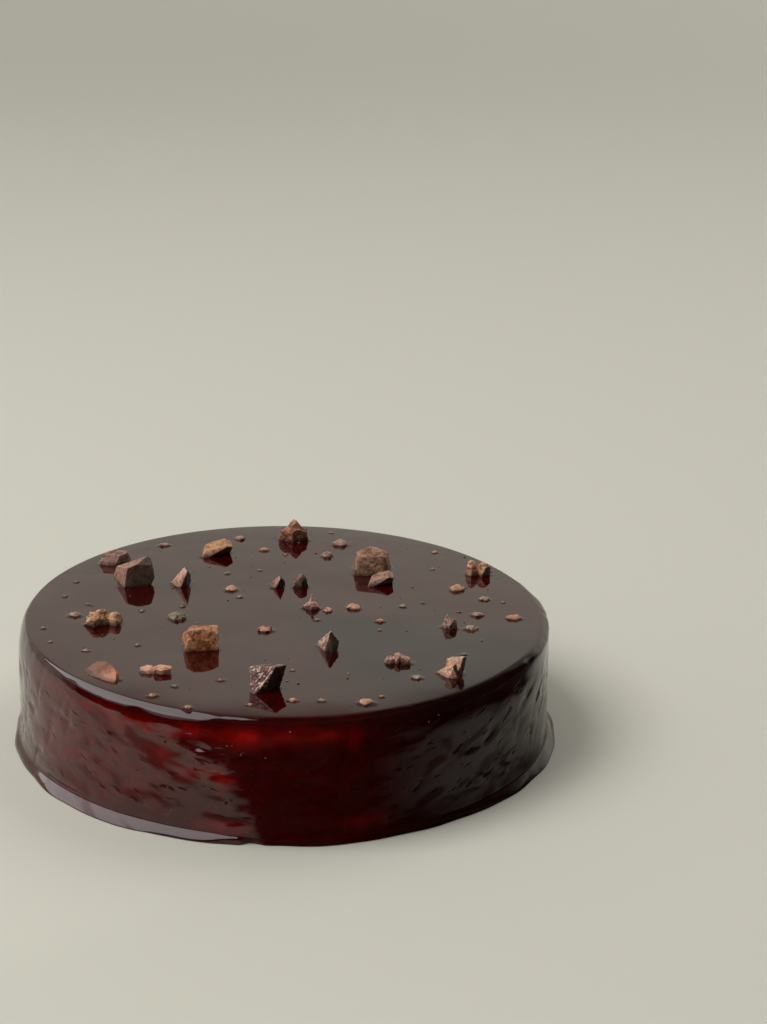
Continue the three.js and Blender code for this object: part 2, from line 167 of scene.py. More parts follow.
# %% [markdown]
# ## Uneven surfaces
# Food is never smooth or regular. Two kinds of unevenness are enough: soft lumps, from random numbers on a
# lattice that are blended smoothly, and broken facets, where space is split into cells and each cell is cut
# by a plane with a tilt of its own. Both come from a hash of the cell's number, so each run gives the same
# cake.

# %% Soft lumps and broken facets
def cell_number(cells, seed):
    """A repeatable number from 0 to 1 for each whole-number cell (n, 3): its coordinates are multiplied by
    odd primes, added and mixed twice."""
    mixed = (cells.astype(np.int64) * [73856093, 19349663, 83492791]).sum(-1) + seed * 2654435761
    mixed = (mixed ^ (mixed >> 13)) * 1274126177 & 0xFFFFFFFF
    mixed = (mixed ^ (mixed >> 16)) * 2246822519 & 0xFFFFFFFF
    return (mixed ^ (mixed >> 15)) / 0xFFFFFFFF


def lumps(points, size, seed):
    """Smooth noise from -1 to 1: the eight lattice numbers round each point, blended by smoothstep along each
    axis. size is the lattice's spacing in the points' units, one for all axes or one for each."""
    at = np.asarray(points) / size
    low = np.floor(at)
    share = smoothstep(at - low, 0, 1)
    total = np.zeros(len(at))
    for corner in np.ndindex(2, 2, 2):
        weight = np.prod(np.where(corner, share, 1 - share), axis=-1)
        total += weight * cell_number(low + corner, seed)
    return 2 * total - 1


def facets(points, size, seed):
    """Broken facets: each point belongs to the nearest of the jittered cell middles round it. Gives its
    offset from that middle along the cell's own tilt, about -0.5 to 0.5, and the cell's number, 0 to 1."""
    at = np.asarray(points) / size
    low = np.floor(at)
    nearest = np.full(len(at), np.inf)
    value = np.zeros(len(at))
    own = np.zeros(len(at))
    for step in np.ndindex(3, 3, 3):
        cell = low + np.array(step) - 1
        middle = cell + np.stack([cell_number(cell, seed + k) for k in range(3)], axis=-1)
        tilt = np.stack([cell_number(cell, seed + 3 + k) for k in range(3)], axis=-1) - 0.5
        offset = at - middle
        distance = (offset ** 2).sum(-1)
        closer = distance < nearest
        nearest = np.where(closer, distance, nearest)
        value = np.where(closer, (offset * tilt).sum(-1), value)
        own = np.where(closer, cell_number(cell, seed + 6), own)
    return value, own


# %% [markdown]
# ## The studio
# The real glaze is a mirror, so its colour is mostly the room's: pale low down behind, dim higher up and dark
# on the viewer's right, with one large window high on the left. Lamps alone would leave the top black. So a
# pale floor runs up into a wall that glows faintly, as if a lamp of its own washed it, and the sky carries a
# soft band above. The window shines in reflections only. Two smaller lamps, which reflections don't show,
# light the nougat from the left and fill its dark sides.

# %% Floor and wall
FLOOR_FLAT = 1500  # mm from the middle to where the floor starts to rise
WALL_AT, WALL_TOP = 2600, 900  # mm
FLOOR_DOWN = 0.2  # mm under the cake, so that the two never share a plane
WALL_WASH = 0.2  # glow at the top of the washed part
WASHED = (0.02, 0.5)  # m above the floor, from no glow to all of it

turn = np.linspace(0, 2 * np.pi, 96, endpoint=False)
bend = np.linspace(0, np.pi / 2, 24)
floor_radius = np.concatenate([[400, 1000], FLOOR_FLAT + (WALL_AT - FLOOR_FLAT) * np.sin(bend)])
floor_height = np.concatenate([[0, 0], WALL_TOP * (1 - np.cos(bend))]) - FLOOR_DOWN
floor_points = polar(floor_radius[:, None], turn, floor_height[:, None]).reshape(-1, 3)
floor_points = np.vstack([floor_points, [0, 0, -FLOOR_DOWN]])
floor = put_mesh("floor", floor_points, grid_faces(len(floor_radius), len(turn))[:, ::-1],
                 fan_faces(len(floor_points) - 1, np.arange(len(turn))))

# Matt paint, rolled on: it scatters all light, so the floor shows soft shadows and no reflections.
paint, tree, coat = new_material("matt_studio_paint")
coat.inputs["Base Color"].default_value = (*linear("#d8d8ce"), 1)
coat.inputs["Roughness"].default_value = 0.8
apart = node(tree, "ShaderNodeSeparateXYZ", {0: node(tree, "ShaderNodeTexCoord").outputs["Object"]})
# The wall glows faintly, from nothing 2 cm above the floor to its full glow half a metre up and on: painted
# light, as if a lamp of its own washed it.
washed = node(tree, "ShaderNodeMapRange", {"Value": apart.outputs["Z"], "From Min": WASHED[0],
                                           "From Max": WASHED[1], "To Min": 0.0, "To Max": WALL_WASH})
tree.links.new(washed.outputs[0], coat.inputs["Emission Strength"])
coat.inputs["Emission Color"].default_value = (*linear("#fffdf4"), 1)
floor.data.materials.append(paint)
print("floor", 2 * WALL_AT / 1000, "m across")

# %% Sky and lamps
SKY_BAND = (0.62, 0.585, 0.51)
SKY_ABOVE = (0.275, 0.25, 0.215)
BAND_ENDS = (25, 33)  # degrees above level
DARK_TOWARDS = (0.6, -0.8, 0)  # the dark side of the room: the viewer's right
DARKEST = 0.1  # share of the light left there

sky = bpy.data.worlds.new("soft_room")
sky.use_nodes = True
bpy.context.scene.world = sky
tree = sky.node_tree
tree.nodes.clear()
towards = node(tree, "ShaderNodeTexCoord").outputs["Generated"]
apart = node(tree, "ShaderNodeSeparateXYZ", {0: towards})
above = node(tree, "ShaderNodeMapRange",
             {"Value": apart.outputs["Z"], "From Min": math.sin(math.radians(BAND_ENDS[0])),
              "From Max": math.sin(math.radians(BAND_ENDS[1]))}, interpolation_type="SMOOTHSTEP")
shade = node(tree, "ShaderNodeMix", {0: above, 6: (*SKY_BAND, 1), 7: (*SKY_ABOVE, 1)}, data_type="RGBA")
facing = node(tree, "ShaderNodeVectorMath", {0: towards, 1: DARK_TOWARDS}, operation="DOT_PRODUCT")
dimmed = node(tree, "ShaderNodeMapRange",
              {"Value": facing.outputs["Value"], "From Min": -0.1, "From Max": 0.3, "To Min": 1.0,
               "To Max": DARKEST}, interpolation_type="SMOOTHSTEP")
glow = node(tree, "ShaderNodeBackground", {"Color": shade.outputs[2], "Strength": dimmed})
node(tree, "ShaderNodeOutputWorld", {"Surface": glow})


def area_lamp(name, azimuth, rise, away, wide, high, watts, colour):
    """A rectangular lamp that faces the cake. azimuth and rise are its direction in degrees, the rest is in
    metres and watts."""
    towards = Vector(direction(azimuth, rise))
    light = bpy.data.lights.new(name, "AREA")
    light.shape = "RECTANGLE"
    light.size, light.size_y = wide, high
    light.energy = watts
    light.color = colour
    lamp = bpy.data.objects.new(name, light)
    lamp.location = towards * away
    lamp.rotation_euler = towards.to_track_quat("Z", "Y").to_euler()
    lamp.visible_camera = False
    bpy.context.scene.collection.objects.link(lamp)
    return lamp


window = area_lamp("window", 190, 43, 2.3, 4.2, 2.5, 78, (0.98, 0.98, 1.0))
window.visible_diffuse = False
key = area_lamp("key", 196, 57, 2.2, 1.3, 1.3, 29, (1.0, 0.985, 0.95))
key.visible_glossy = False
fill = area_lamp("fill", 40, 52, 2.4, 1.6, 1.6, 13, (1.0, 0.99, 0.97))
fill.visible_glossy = False

bpy.context.scene.view_settings.view_transform = "Standard"
bpy.context.scene.cycles.use_denoising = True
print("lamps:", len(bpy.data.lights))
# %% [markdown]
# ## Dark panels that only reflections see
# The side of the real cake mirrors what lies round it: pale on the left, then, past a slanted border, a much
# darker field, darkest right at the foot. A mat on the floor and a low screen round the near side stand in
# for it. The camera, the lamps and their shadows miss them, so only mirror-like surfaces show them.

# %% A panel
def reflected_panel(name, points, faces, cover):
    """A matt dark surface through points in mm, seen by mirror-like surfaces alone. cover is 1 where a point
    is solid and 0 where it is clear."""
    panel = put_mesh(name, points, faces, cover=cover)
    # Felt: matt and nearly black, so it adds nothing of its own to what mirrors it.
    felt, tree, black = new_material(name)
    black.inputs["Base Color"].default_value = (*linear("#1d1918"), 1)
    black.inputs["Roughness"].default_value = 1.0
    clear = node(tree, "ShaderNodeBsdfTransparent")
    share = node(tree, "ShaderNodeAttribute", attribute_name="cover")
    mixed = node(tree, "ShaderNodeMixShader", {0: share.outputs["Fac"], 1: clear, 2: black})
    tree.links.new(mixed.outputs[0], tree.nodes["Material Output"].inputs["Surface"])
    panel.data.materials.append(felt)
    panel.visible_camera = panel.visible_diffuse = panel.visible_shadow = panel.visible_transmission = False
    return panel


# %% The mat
# It is built from the lines of floor that the cake's side reflects to the viewer: one line for each azimuth
# of the side, which leaves the foot at twice that azimuth less 270 degrees.
MAT_RADIUS, MAT_UP = 114, 0.1  # mm: where the lines leave, and the mat's height over the underside
MAT_FROM_FOOT = np.array([-4, 3, 11, 20, 38, 60, 92, 125, 160, 300, 1150])
MAT_STARTS = np.array([266, 265, 264.5, 263.5, 261, 258.2, 254.6, 251.5, 250, 249, 249])  # azimuth, for each
MAT_BORDER = (-1.6, 0.4)  # degrees: from clear to solid across the slanted border
MAT_AZIMUTH = np.array([249, 288, 296, 306, 318, 330, 340, 350])
MAT_COVER = np.array([1, 1, 0.8, 0.5, 0.4, 0.3, 0.1, 0])
FOOT_COVER = np.array([1, 1, 1, 1, 1, 0.9, 0.5, 0])
FAR_COVER = np.array([1, 1, 1, 1, 1, 0.95, 0.2, 0])
FOOT_ENDS, FAR_STARTS = (8, 22), (120, 165)  # mm along a line
mat_azimuth = np.linspace(247, 350, 130)
at, leaving = np.radians(mat_azimuth), np.radians(2 * mat_azimuth - 270)
mat_points = polar(MAT_RADIUS, at, MAT_UP) + polar(MAT_FROM_FOOT[:, None], leaving, 0)
near_foot = (1 - smoothstep(MAT_FROM_FOOT, *FOOT_ENDS))[:, None]
far_out = smoothstep(MAT_FROM_FOOT, *FAR_STARTS)[:, None]
mat_cover = np.interp(mat_azimuth, MAT_AZIMUTH, MAT_COVER) * (1 - near_foot - far_out)
mat_cover = mat_cover + np.interp(mat_azimuth, MAT_AZIMUTH, FOOT_COVER) * near_foot
mat_cover = mat_cover + np.interp(mat_azimuth, MAT_AZIMUTH, FAR_COVER) * far_out
mat_cover = mat_cover * smoothstep(mat_azimuth - MAT_STARTS[:, None], *MAT_BORDER)
mat_faces = grid_faces(len(MAT_FROM_FOOT), len(at), closed=False)
reflected_panel("dark_mat", mat_points.reshape(-1, 3), mat_faces, mat_cover.ravel())
print("mat:", len(mat_faces), "faces")

# %% The screen
SCREEN_AWAY = 1300  # mm from the middle
SCREEN_AZIMUTH = np.array([160, 178, 225, 245, 384, 398])
SCREEN_TOP = np.array([260, 260, 260, 560, 560, 560])  # mm
SCREEN_COVER = np.array([0, 1, 1, 1, 1, 0])
SCREEN_ROWS, ROW_COVER = np.array([[0, 0.1, 0.93, 1], [1, 1, 1, 0]])[:, :, None]  # share of height, cover
screen_azimuth = np.linspace(SCREEN_AZIMUTH[0], SCREEN_AZIMUTH[-1], 83)
screen_z = SCREEN_ROWS * np.interp(screen_azimuth, SCREEN_AZIMUTH, SCREEN_TOP)
screen_points = polar(SCREEN_AWAY, np.radians(screen_azimuth), screen_z)
screen_cover = np.interp(screen_azimuth, SCREEN_AZIMUTH, SCREEN_COVER) * ROW_COVER
screen_faces = grid_faces(len(screen_z), len(screen_azimuth), closed=False)
reflected_panel("dark_screen", screen_points.reshape(-1, 3), screen_faces, screen_cover.ravel())
print("screen:", len(screen_faces), "faces")

# %% [markdown]
# ## The glaze
# On the real cake a warm mirror glaze was poured over a chilled, roughly smoothed cake. It levels itself to a
# mirror on top, rolls over the edge, thins on the side so that the palette knife's marks show through, and
# pools in a narrow foot. The surface is a profile carried round an axis: angle and height are the two
# parameters, and every mark moves a point in or out along its radius. The sizes are those of the solid.

# %% Sizes of the glazed cake
HEIGHT = 52.3
TOP_RADIUS, BASE_RADIUS = 111.2, 111.6
FLARE_FROM = 14.0  # mm: height from which the side flares down to the base
SHOULDER_IN, SHOULDER_DOWN = 4.5, 4.0
SAG_FROM, SAG = 86.0, 0.5  # mm from the middle, mm down
FOOT_HEIGHT = 4.4  # mm: height of the foot's rows


def counted_draws(seed, count):
    """Repeatable numbers from 0 to 1, the same as the solid's own draws: the seed plus a multiple of one odd
    constant, then two rounds of shift, multiply and xor in 32 bits."""
    state = np.uint32(seed) + np.arange(1, count + 1, dtype=np.uint32) * np.uint32(0x6D2B79F5)
    mixed = (state ^ (state >> np.uint32(15))) * (np.uint32(1) | state)
    mixed = (mixed + (mixed ^ (mixed >> np.uint32(7))) * (np.uint32(61) | mixed)) ^ mixed
    return (mixed ^ (mixed >> np.uint32(14))) / 4294967296


def top_height(radius):
    """Height of the top at a distance from the middle: flat, then a shallow parabola, then a quarter ellipse
    down over the edge."""
    flat_to = TOP_RADIUS - SHOULDER_IN
    sagged = SAG * np.clip((radius - SAG_FROM) / (flat_to - SAG_FROM), 0, 1) ** 2
    out = np.clip((radius - flat_to) / SHOULDER_IN, 0, 1)
    return HEIGHT - sagged - (SHOULDER_DOWN - SAG) * (1 - np.sqrt(1 - out ** 2))
# %% [markdown]
# ## Marks of the palette knife
# Under the thin glaze of the side lie hundreds of strokes of the knife that smoothed the cake. Painted as a
# bump they wouldn't bend the long reflections as they do here, so each is a real dent: a shallow oval,
# slanted as the hand went. There are broad ones, fine ones, and steep folds where the glaze ran down. Their
# sizes and seeds are those of the solid.

# %% Dents
def mark_table(seed, count, lengths, widths, depths, slants):
    """One row for each long shallow dent: angle, height, length, width, depth and slant, spread round the
    side. Each is an even draw between two values, in mm and degrees."""
    draw = counted_draws(seed, 6 * count).reshape(count, 6)
    heights = (FOOT_HEIGHT + 3, HEIGHT - SHOULDER_DOWN)
    low, high = np.array([heights, lengths, widths, depths, slants]).T
    table = np.empty((count, 6))
    table[:, 0] = 2 * np.pi * (np.arange(count) + draw[:, 0]) / count
    table[:, 1:] = low + (high - low) * draw[:, 1:]
    table[:, 5] = np.radians(table[:, 5])
    return table


def dents(angle, z, table):
    """Sum of the dents at each point: each is its depth times a Gaussian of the distance along and across its
    slanted oval on the unrolled side."""
    total = np.zeros(np.broadcast(angle, z).shape)
    for at, height, length, width, depth, slant in table:
        along = np.arctan2(np.sin(angle - at), np.cos(angle - at)) * TOP_RADIUS
        rise = z - height
        lengthwise = (along * math.cos(slant) + rise * math.sin(slant)) / (length / 2)
        across = (rise * math.cos(slant) - along * math.sin(slant)) / (width / 2)
        total += depth * np.exp(-lengthwise ** 2 - across ** 2)
    return total


broad_marks = mark_table(11, 110, (7, 17), (2.4, 4.6), (0.25, 0.85), (-35, 50))
fine_marks = mark_table(23, 300, (3, 9), (1.2, 2.2), (0.06, 0.24), (-25, 25))
folds = mark_table(31, 90, (12, 26), (2.2, 4.5), (0.1, 0.38), (55, 88))
folded = (np.degrees(folds[:, 0]) > 188) & (np.degrees(folds[:, 0]) < 226) | (folds[:, 0] > math.radians(320))
folds = folds[folded | (folds[:, 0] < math.radians(60))]
print("marks:", len(broad_marks), "broad,", len(fine_marks), "fine,", len(folds), "folds")

# %% The glaze's profile
AROUND = 900
SIDE_ROWS, SHOULDER_ROWS, FOOT_ROWS = 56, 20, 14

foot_z = np.linspace(0, FOOT_HEIGHT, FOOT_ROWS, endpoint=False)
side_z = np.linspace(FOOT_HEIGHT, HEIGHT - SHOULDER_DOWN, SIDE_ROWS, endpoint=False)
low_z = np.concatenate([foot_z, side_z])
flared = (np.clip(FLARE_FROM - low_z, 0, None) / FLARE_FROM) ** 2
low_radius = TOP_RADIUS + (BASE_RADIUS - TOP_RADIUS) * flared
roll_radius = TOP_RADIUS - SHOULDER_IN * (1 - np.cos(np.linspace(0, np.pi / 2, SHOULDER_ROWS)))
inner_radius = np.concatenate([np.linspace(TOP_RADIUS - SHOULDER_IN, SAG_FROM, 12)[1:], [78, 60, 40, 20]])
over_radius = np.concatenate([roll_radius, inner_radius])
profile_radius = np.concatenate([low_radius, over_radius])[:, None]
profile_z = np.concatenate([low_z, top_height(over_radius)])[:, None]
angle = np.linspace(0, 2 * np.pi, AROUND, endpoint=False)[None, :]
azimuth = np.degrees(angle[0])
print("profile:", len(profile_z), "points")

# %% Relief of the side
BROAD_WAVES = [(3, 0.35, 0.4), (5, 0.3, 2.1), (9, 0.22, 4.4)]  # count, height in mm, shift
WAVE_TWIST = 0.04  # shift for each mm of height
SOFT_LUMPS = [((9, 9, 4), 0.16, 41), ((4, 4, 1.8), 0.05, 42), ((1.6, 1.6, 0.9), 0.01, 43)]  # mm, mm, seed
BRIDGED, BRIDGED_FROM, BRIDGED_TO = 0.85, HEIGHT - 15, HEIGHT - 7  # the glaze hides the marks near the edge

plain = polar(profile_radius, angle, profile_z).reshape(-1, 3)
relief = sum(-dents(angle, profile_z, table) for table in (broad_marks, fine_marks, folds))
for count, size, shift in BROAD_WAVES:
    relief = relief + size * np.sin(count * angle + shift + profile_z * WAVE_TWIST)
for size, height, seed in SOFT_LUMPS:
    relief = relief + height * lumps(plain, np.array(size), seed).reshape(relief.shape)
relief = relief * (1 - BRIDGED * smoothstep(profile_z, BRIDGED_FROM, BRIDGED_TO))
print("relief from", relief.min().round(2), "to", relief.max().round(2), "mm")

# %% [markdown]
# ## The pooled foot and the rolled edge
# Glaze that ran down stopped in a narrow bead on the base, wider in some places than in others, with a
# shallow groove above it on the left and one notch. At the top it hangs over the edge in soft waves, with
# one drip. Both are lines round the cake, so each is a function of the azimuth times a share that depends on
# the height.

# %% The foot
FOOT_LINE = np.array([  # azimuth in degrees, and how far the pooled foot stands out there
    (0, 3.6), (50, 2.4), (120, 1.9), (180, 2), (205, 2.2), (221, 3.4), (233, 3.4), (243, 2.4), (254, 1.7),
    (261, 1.2), (263.5, -1.2), (267, 0.8), (282, 1.9), (296, 1.1), (312, 2), (330, 3.6), (348, 4.1),
    (360, 3.6)])
FOOT_WAVES = [(17, 0.22, 1.1), (29, 0.16, 0)]  # count, height in mm, shift
BEAD_HEIGHT, BEAD_PART = 3.1, 0.65  # mm, and the bead's part of the foot; the rest is a low flare
BEAD_SLOPE, LEAST_SLOPE = 1.25, 1.3  # height over which it rounds over: for each mm out, and at least
BEAD_POWER, FLARE_BEADS = 1.4, 2.5  # how it rounds over, and the flare's height in bead heights
GROOVE, GROOVE_UP, GROOVE_HALF = 0.7, 0.8, 1.8  # mm: depth, height above the bead, half height
GROOVE_STARTS, GROOVE_ENDS = (200, 215), (254, 260)  # azimuth

stop = np.searchsorted(FOOT_LINE[:, 0], azimuth, side="right")
before, after = FOOT_LINE[stop - 1].T, FOOT_LINE[stop].T
share = smoothstep((azimuth - before[0]) / (after[0] - before[0]), 0, 1)
foot = before[1] * (1 - share) + after[1] * share
for count, size, shift in FOOT_WAVES:
    foot = foot + size * np.sin(count * angle[0] + shift)
groove = GROOVE * smoothstep(azimuth, *GROOVE_STARTS) * (1 - smoothstep(azimuth, *GROOVE_ENDS))
groove_share = np.exp(-((profile_z - BEAD_HEIGHT - GROOVE_UP) / GROOVE_HALF) ** 2)
slope = np.clip(BEAD_SLOPE * (BEAD_PART * foot + groove), LEAST_SLOPE, BEAD_HEIGHT)
bead_share = 1 - np.clip((profile_z - BEAD_HEIGHT + slope) / slope, 0, 1) ** BEAD_POWER
flare_share = np.clip(1 - profile_z / (FLARE_BEADS * BEAD_HEIGHT), 0, 1) ** 2
foot_share = BEAD_PART * bead_share + (1 - BEAD_PART) * flare_share
print("foot stands out from", foot.min().round(1), "to", foot.max().round(1), "mm")

# %% The edge
EDGE_WAVES = [(8, 0.5, 44), (25, 0.25, 45)]  # cells from the middle to the edge, mm, seed
DRIP_AZIMUTH, DRIP_HALF, DRIP_DOWN = 239.0, 4.0, 0.7  # degrees, degrees, mm
above_side = smoothstep(profile_z, HEIGHT - 9, HEIGHT - 4)
edge_share = above_side * (1 - smoothstep(profile_z, HEIGHT - 2, HEIGHT - 0.6))
edge_waves = sum(size * lumps(polar(cells, angle[0], 0), 1.0, seed) for cells, size, seed in EDGE_WAVES)
drip = np.clip(1 - np.abs(azimuth - DRIP_AZIMUTH) / DRIP_HALF, 0, 1) ** 1.5
edge_waves = edge_waves - DRIP_DOWN * drip * (1 - smoothstep(profile_z, HEIGHT - 4.5, HEIGHT - 2))
print("edge moves down by up to", -edge_waves.min().round(2), "mm")

# %% The glaze's surface
LEAN_FROM = 34.0  # mm: above this height the glaze leans in towards the edge
LEAN_STARTS, LEAN_ENDS = (4, 30), (322, 342)  # azimuth: it doesn't at the right end

side_share = smoothstep(profile_radius, TOP_RADIUS - SHOULDER_IN, TOP_RADIUS)
leaning = smoothstep(azimuth, *LEAN_STARTS) * (1 - smoothstep(azimuth, *LEAN_ENDS))
risen = np.clip((profile_z - LEAN_FROM) / (HEIGHT - SAG - LEAN_FROM), 0, 1)
tall_radius = TOP_RADIUS - SHOULDER_IN * (1 - np.sqrt(1 - risen ** 2))
lean = leaning * np.clip(np.minimum(profile_radius, TOP_RADIUS) - tall_radius, 0, None)
moved = smoothstep(profile_z, 0, 2 * FOOT_HEIGHT) * relief + foot_share * foot - groove * groove_share
radius = profile_radius + side_share * moved - lean
points = polar(radius, angle, profile_z + edge_share * edge_waves).reshape(-1, 3)
rows = len(profile_z)
under, over = rows * AROUND, rows * AROUND + 1
points = np.vstack([points, [0, 0, 0], [0, 0, HEIGHT]])
caps = np.vstack([fan_faces(under, np.arange(AROUND)[::-1]),
                  fan_faces(over, np.arange(AROUND) + (rows - 1) * AROUND)])
print("widest radius", radius.max().round(1), "mm, lean up to", lean.max().round(2), "mm")

# %% [markdown]
# ## Where light shines through the glaze
# The body of the glaze is nearly black, but where it hangs thick under the edge, and in a few patches lower
# down, light from above shines through it in ruby red. A full simulation of light inside the glaze would be
# slow and noisy. Since only its colour matters, each point gets a tint worked out from soft oval patches.

# %% Ruby patches
# COCOA is the glaze's own colour; RUBY is a painted glow, the colour of light shining through thick glaze.
COCOA, RUBY = linear("#310202"), linear("#8c0a04")
RUBY_GLOW_PATCHES = [  # azimuth, height, half width in degrees, half height in mm, strength
    (223, 24, 28, 24, 0.25), (215, 45, 9, 2.2, 0.2), (231, 44.5, 9, 2.4, 0.28), (244, 43.5, 7, 2.6, 0.35),
    (252, 44.5, 5, 2.4, 0.5), (269, 45, 11, 3.2, 0.5), (262, 43.5, 2.6, 3.2, 0.8), (278, 45.5, 3, 2.4, 0.3),
    (284.5, 42, 1.8, 3.5, 0.25), (258.5, 25, 2.2, 3, 0.5), (255, 29, 3, 3, 0.35), (251, 28, 3, 3, 0.4),
    (246, 35, 4, 4, 0.2), (260.5, 6, 3, 2.5, 0.4), (256, 6, 4, 2.5, 0.4), (287, 8, 5, 3, 0.25),
    (303, 26, 4, 6, 0.08), (318, 20, 5, 5, 0.06)]
OTHERS_FROM, OTHERS_SPAN = [335, 5, 3, 2, 0.05], [225, 42, 8, 5, 0.3]  # those of the back, placed by draws
others = np.array(OTHERS_FROM) + counted_draws(61, 100).reshape(20, 5) * np.array(OTHERS_SPAN)


def azimuths(points):
    """Azimuth of each point, from 0 to 360 degrees."""
    return np.degrees(np.arctan2(points[:, 1], points[:, 0])) % 360


def oval(points, middle, height, wide, high):
    """A soft oval on the side: a Gaussian of the azimuth and the height away from its middle."""
    away = (azimuths(points) - middle + 180) % 360 - 180
    return np.exp(-(away / wide) ** 2 - ((points[:, 2] - height) / high) ** 2)


def side_only(points):
    """1 on the side and 0 on the top: a smooth step over the last millimetres of the radius."""
    return smoothstep(np.hypot(points[:, 0], points[:, 1]), TOP_RADIUS - 3.5, TOP_RADIUS - 0.8)


def ruby_glow_share(points):
    """How far the tint goes from cocoa to ruby, a painted glow of light shining through the glaze: the sum of
    the patches' ovals, made uneven by soft lumps and cut off at 1."""
    total = sum(strength * oval(points, *place) for *place, strength in np.vstack([RUBY_GLOW_PATCHES, others]))
    uneven = 0.45 * lumps(points, np.array([6, 6, 3]), 51) + 0.2 * lumps(points, np.array([2, 2, 1.2]), 52)
    return np.clip(total * (0.85 + uneven), 0, 1) * side_only(points)


ruby = ruby_glow_share(points)[:, None]
print("ruby: mean share", ruby.mean().round(3))

# %% [markdown]
# ## Where the skin is duller
# The marks of the knife also break up the mirror: between clear stretches lie soft dull ones, drawn out along
# the strokes, and on the right a few black gaps under the edge. They are too soft for geometry, so each point
# gets a share of the mirror. The strokes bow: they fall to the right on the left side and rise on the right.

# %% Share of the mirror
STROKE_BOW = 2.2  # 1/m: a stroke's height rises by this times the square of the way from the middle
ON_MARKS = np.array([0, 60, 180, 215, 232, 243, 265, 300, 330, 345, 360])  # azimuth
MARK_SHARE = np.array([0.5, 0.4, 0.3, 0.3, 0.5, 0.95, 0.8, 0.85, 0.75, 0.35, 0.4])  # how strong the marks are
CLEAR_SKIN = np.array([1, 1, 1, 1, 1, 1, 1, 0.72, 0.85, 1.3, 1.1])  # where the skin is duller or clearer
BLACK_GAPS = [  # as the ruby patches
    (303, 44, 7, 3.0, 1.0), (311, 42.5, 6, 2.6, 1.0), (320, 43.5, 6, 2.2, 0.9), (328, 43.5, 5, 2.6, 0.8),
    (318, 4, 14, 3.5, 0.9), (300, 6, 8, 3, 0.7), (334, 6, 8, 4, 0.6)]


def mirror_share(points):
    """How much of the room's reflection the skin shows: 1 on top, and on the side less where the marks of the
    knife break it up. Two sizes of soft lumps, drawn out along the strokes, set where that is."""
    around = azimuths(points)
    along = np.radians((around - 270 + 180) % 360 - 180) * TOP_RADIUS
    bowed = np.column_stack([points[:, :2], points[:, 2] - STROKE_BOW * MM * along ** 2])
    field = lumps(bowed, np.array([12, 12, 4.2]), 61) + 0.55 * lumps(bowed, np.array([5, 5, 1.9]), 62)
    broken = smoothstep(field, 0.0, 0.55) * np.interp(around, ON_MARKS, MARK_SHARE)
    for *place, strength in BLACK_GAPS:
        gap = strength * oval(points, *place)
        broken = np.maximum(broken, np.clip(gap * (1.3 + 0.6 * field), 0, 1))
    on_side = side_only(points) * (1 - smoothstep(points[:, 2], HEIGHT - 6, HEIGHT - 4.5))
    clear = 1 + (np.interp(around, ON_MARKS, CLEAR_SKIN) - 1) * on_side
    return (1 - 0.85 * broken * on_side) * clear


# %% The glaze as a piece
PAINTED_SHADE_RIGHT = 0.7  # how much darker the glaze's colour is painted on the right: painted shade
# Painted shade: the glaze's colour is darkened on the right, where the side turns away from the window.
at = azimuths(points)
painted_right_shade = 1 - PAINTED_SHADE_RIGHT * (smoothstep(at, 276, 305) - smoothstep(at, 335, 359))[:, None]
glaze = put_mesh("glaze", points, grid_faces(rows, AROUND), caps,
                 tint=(COCOA + (RUBY - COCOA) * ruby) * painted_right_shade, mirror=mirror_share(points))
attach(glaze, "root")
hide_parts("cake")
print("glaze:", len(glaze.data.polygons), "faces")

# %% Cocoa mirror glaze: its body
# Gelatine and cocoa set to a glassy skin: nearly black, sharp in its reflections, a little uneven from close
# by. Its colour is the point's tint, which holds the painted ruby glow and the painted shade on the right,
# made cloudy by noise of about 6 mm.
CLOUDS = 160.0  # in a metre
mirror_glaze, tree, skin = new_material("cocoa_mirror_glaze")
skin.inputs["Roughness"].default_value = 0.045
skin.inputs["IOR"].default_value = 1.45
place = node(tree, "ShaderNodeTexCoord").outputs["Object"]
tint = node(tree, "ShaderNodeAttribute", attribute_name="tint").outputs["Vector"]
cloudy = node(tree, "ShaderNodeTexNoise", {"Vector": place, "Scale": CLOUDS, "Detail": 3.0, "Roughness": 0.6})
tone = node(tree, "ShaderNodeMapRange", {"Value": cloudy, "From Min": 0.3, "From Max": 0.7, "To Min": 0.7,
                                         "To Max": 1.3})
body = node(tree, "ShaderNodeVectorMath", {0: tint, "Scale": tone}, operation="SCALE")
tree.links.new(body.outputs[0], skin.inputs["Base Color"])
glaze.data.materials.append(mirror_glaze)
print("glaze tint from", COCOA.round(4), "to", RUBY.round(3))

# %% Cocoa mirror glaze: thin slits along the strokes
SLIT_LONG, SLIT_HIGH, SLIT_DEEP = 7.0, 1.9, 0.1  # mm
SLIT_FROM, SLIT_FULL = 0.635, 0.70  # of the noise
SLITS_LOW, SLITS_HIGH = (6, 11), (47, 42)  # mm of height: from none to all

